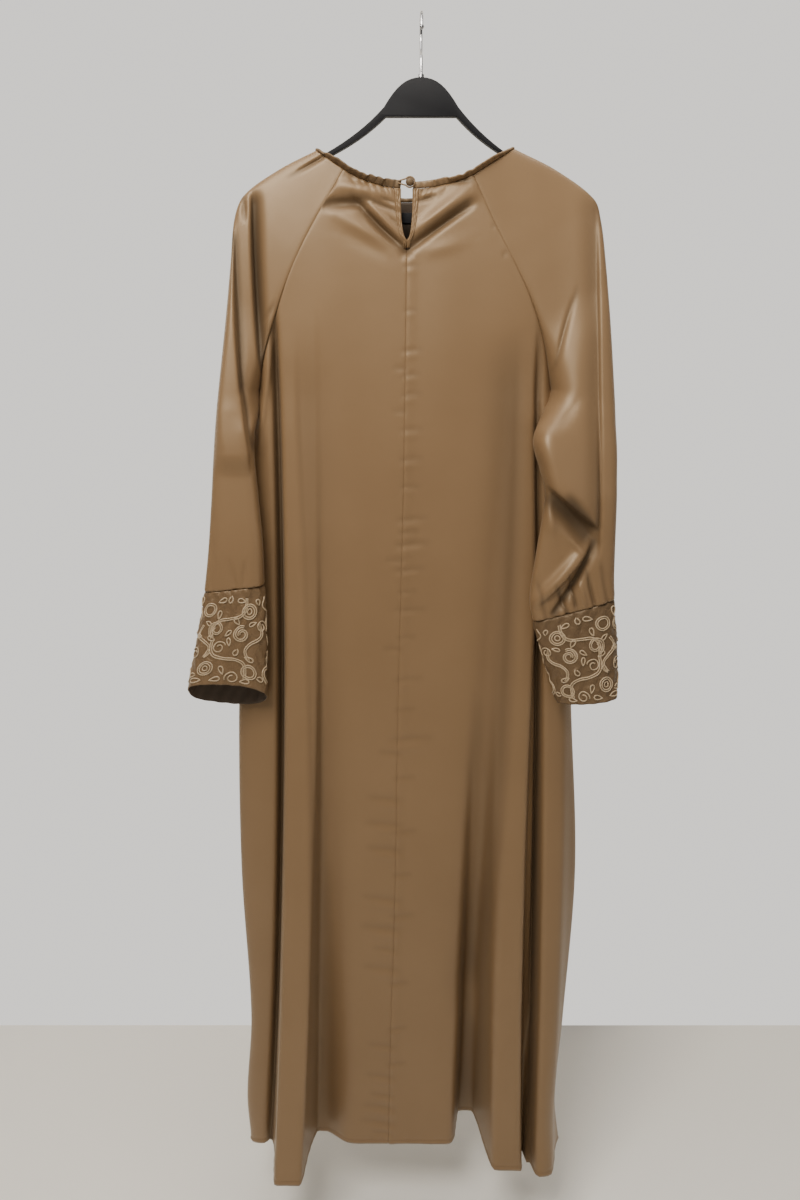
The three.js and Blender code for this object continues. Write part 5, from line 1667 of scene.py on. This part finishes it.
@dataclass
class Hanger:
    """The moulded hanger and its wire hook."""

    plastic: bpy.types.Material
    steel: bpy.types.Material
    edge: float = 1.8

    def frame(self) -> bpy.types.Object:
        """The hanger: a merged copy of the solid's own outline with its long edges rounded."""
        mesh = bpy.data.objects["hanger_frame"].data.copy()
        mesh.name = "hanger_moulding"
        work = bmesh.new()
        work.from_mesh(mesh)
        bmesh.ops.remove_doubles(work, verts=work.verts, dist=1e-5)
        bmesh.ops.dissolve_limit(work, angle_limit=math.radians(1), verts=work.verts, edges=work.edges)
        work.to_mesh(mesh)
        work.free()
        mesh.materials.clear()
        mesh.polygons.foreach_set("use_smooth", np.ones(len(mesh.polygons), bool))
        obj = bpy.data.objects.new(mesh.name, mesh)
        bpy.context.scene.collection.objects.link(obj)
        bevel = obj.modifiers.new("rounded", "BEVEL")
        bevel.width = self.edge * MM
        bevel.segments = 4
        bevel.limit_method = "ANGLE"
        bevel.angle_limit = math.radians(50)
        bevel.harden_normals = True
        return finish_piece(obj, self.plastic, "hanger_plastic", "hanger_frame")

    def hook(self) -> None:
        """Gives the hook's own solid its plated finish."""
        for slot in bpy.data.objects["hook"].material_slots:
            slot.material = self.steel
        log.info("hook: kept, with a new finish")


@dataclass(frozen=True)
class Lamp:
    """A soft rectangular light: its place and aim in metres, its power, size and colour."""

    name: str
    place: Place
    aim: Place
    power: float
    size: tuple[float, float]
    colour: Colour

    def build(self) -> None:
        """Makes the light and turns it to face its aim."""
        lamp = bpy.data.lights.new(self.name, "AREA")
        lamp.shape = "RECTANGLE"
        lamp.size, lamp.size_y = self.size
        lamp.energy = self.power
        lamp.color = self.colour
        obj = bpy.data.objects.new(self.name, lamp)
        obj.location = self.place
        away = np.array(self.aim) - np.array(self.place)
        flat = math.hypot(away[0], away[1])
        obj.rotation_euler = (math.atan2(flat, -away[2]), 0.0, math.atan2(away[1], away[0]) - math.pi / 2)
        bpy.context.scene.collection.objects.link(obj)


@dataclass
class Studio:
    """The pale floor and backdrop, the soft lights and the camera at the photograph's angle."""

    floor_z: float = -1.68
    wall_y: float = 0.42
    reach: float = 4.0
    wall_top: float = 2.2
    ambient: Colour = (0.205, 0.202, 0.198)
    backdrop: Colour = (0.96, 0.93, 0.88)
    backdrop_glow: float = 1.15
    eye: Place = (-0.025, -1.172, -0.432)
    pitch: float = 12.8
    lens: float = 27.0
    sensor: float = 36.0
    lamps: tuple[Lamp, ...] = (
        Lamp("key", (-0.6, -1.35, 0.8), (-0.05, 0.0, -0.55), 50.0, (0.9, 0.8), (1.0, 0.95, 0.87)),
        Lamp("fill", (1.6, -1.6, -0.2), (0.2, 0.0, -0.8), 4.0, (1.2, 1.6), (1.0, 0.97, 0.93)),
        Lamp("top", (0.1, -0.35, 1.0), (0.0, 0.1, -0.6), 18.0, (1.6, 0.8), (1.0, 0.97, 0.93)),
    )

    def build(self) -> None:
        """Makes all of it.

        The wall only sends light back: the camera looks through it, so the garment's far side is seen too.
        """
        side, back, foot, top = self.reach, self.wall_y, self.floor_z, self.wall_top
        low_left, low_right = (-side, back, foot), (side, back, foot)
        self.plain_sheet("floor", [(-side, -side, foot), (side, -side, foot), low_right, low_left])
        wall = self.plain_sheet("wall", [low_left, low_right, (side, back, top), (-side, back, top)])
        wall.visible_camera = False
        for lamp in self.lamps:
            lamp.build()
        self.surround_light()
        self.camera()

    def surround_light(self) -> None:
        """A weak even light from all round, and the pale backdrop that is seen behind everything."""
        world = bpy.data.worlds.new("studio")
        world.use_nodes = True
        nodes, links = world.node_tree.nodes, world.node_tree.links
        even = nodes["Background"]
        even.inputs["Color"].default_value = (*self.ambient, 1)
        seen = nodes.new("ShaderNodeBackground")
        seen.inputs["Color"].default_value = (*self.backdrop, 1)
        seen.inputs["Strength"].default_value = self.backdrop_glow
        either = nodes.new("ShaderNodeMixShader")
        links.new(nodes.new("ShaderNodeLightPath").outputs["Is Camera Ray"], either.inputs["Fac"])
        links.new(even.outputs["Background"], either.inputs[1])
        links.new(seen.outputs["Background"], either.inputs[2])
        links.new(either.outputs["Shader"], nodes["World Output"].inputs["Surface"])
        bpy.context.scene.world = world

    @staticmethod
    def plain_sheet(name: str, edge: list[Place]) -> bpy.types.Object:
        """One flat sheet of the studio, from its four corners in metres."""
        obj = mesh_object(name, np.array(edge) / MM, [[0, 1, 2, 3]])
        obj.data.materials.append(Plaster().make())
        obj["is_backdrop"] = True
        return obj

    def camera(self) -> None:
        """A camera on the viewer's side, pitched down, a little left of the middle."""
        lens = bpy.data.cameras.new("camera")
        lens.lens = self.lens
        lens.sensor_width = self.sensor
        lens.clip_end = 60.0
        obj = bpy.data.objects.new("camera", lens)
        obj.location = self.eye
        obj.rotation_euler = (math.radians(90 - self.pitch), 0.0, 0.0)
        bpy.context.scene.collection.objects.link(obj)
        bpy.context.scene.camera = obj


def triangles_added() -> int:
    """How many triangles the pieces have with their modifiers, the studio's sheets left out."""
    graph = bpy.context.evaluated_depsgraph_get()
    total = 0
    for obj in bpy.context.scene.objects:
        if obj.type != "MESH" or obj.name in frame["nodes"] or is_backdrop(obj):
            continue
        mesh = obj.evaluated_get(graph).to_mesh()
        count = len(mesh.loops) - 2 * len(mesh.polygons)
        log.info("%s: %d triangles", obj.name, count)
        total += count
    return total


def main() -> None:
    satin = Satin().make()
    hem_satin = Satin(name="bronze_satin_hemmed", hem_stitch=True).make()
    worked = Satin(
        name="bronze_satin_worked", light=(0.180, 0.112, 0.058), dark=(0.112, 0.066, 0.032), crumple=1.1
    ).make()
    back = SatinBackPaintedShade().make()
    Studio().build()
    body = Body(hem_satin)
    panels = {side: body.near(side) for side in Side}
    front = body.far()
    sleeves = Sleeves(satin)
    arms = {side: sleeves.build(side) for side in Side}
    keyhole = Keyhole(satin)
    for side in Side:
        keyhole.build(side)
    neck = Neck(satin)
    neck.binding(body, sleeves)
    neck.button()
    neck.loop()
    cuffs = Cuffs(worked, Cord().make())
    wrists = {side: cuffs.build(side) for side in Side}
    for piece in (*panels.values(), front, *arms.values(), *wrists.values()):
        line_with(piece, back)
    hanger = Hanger(Plastic().make(), Steel().make())
    hanger.frame()
    hanger.hook()
    log.info("triangles in all: %d", triangles_added())


if __name__ == "__main__":
    main()
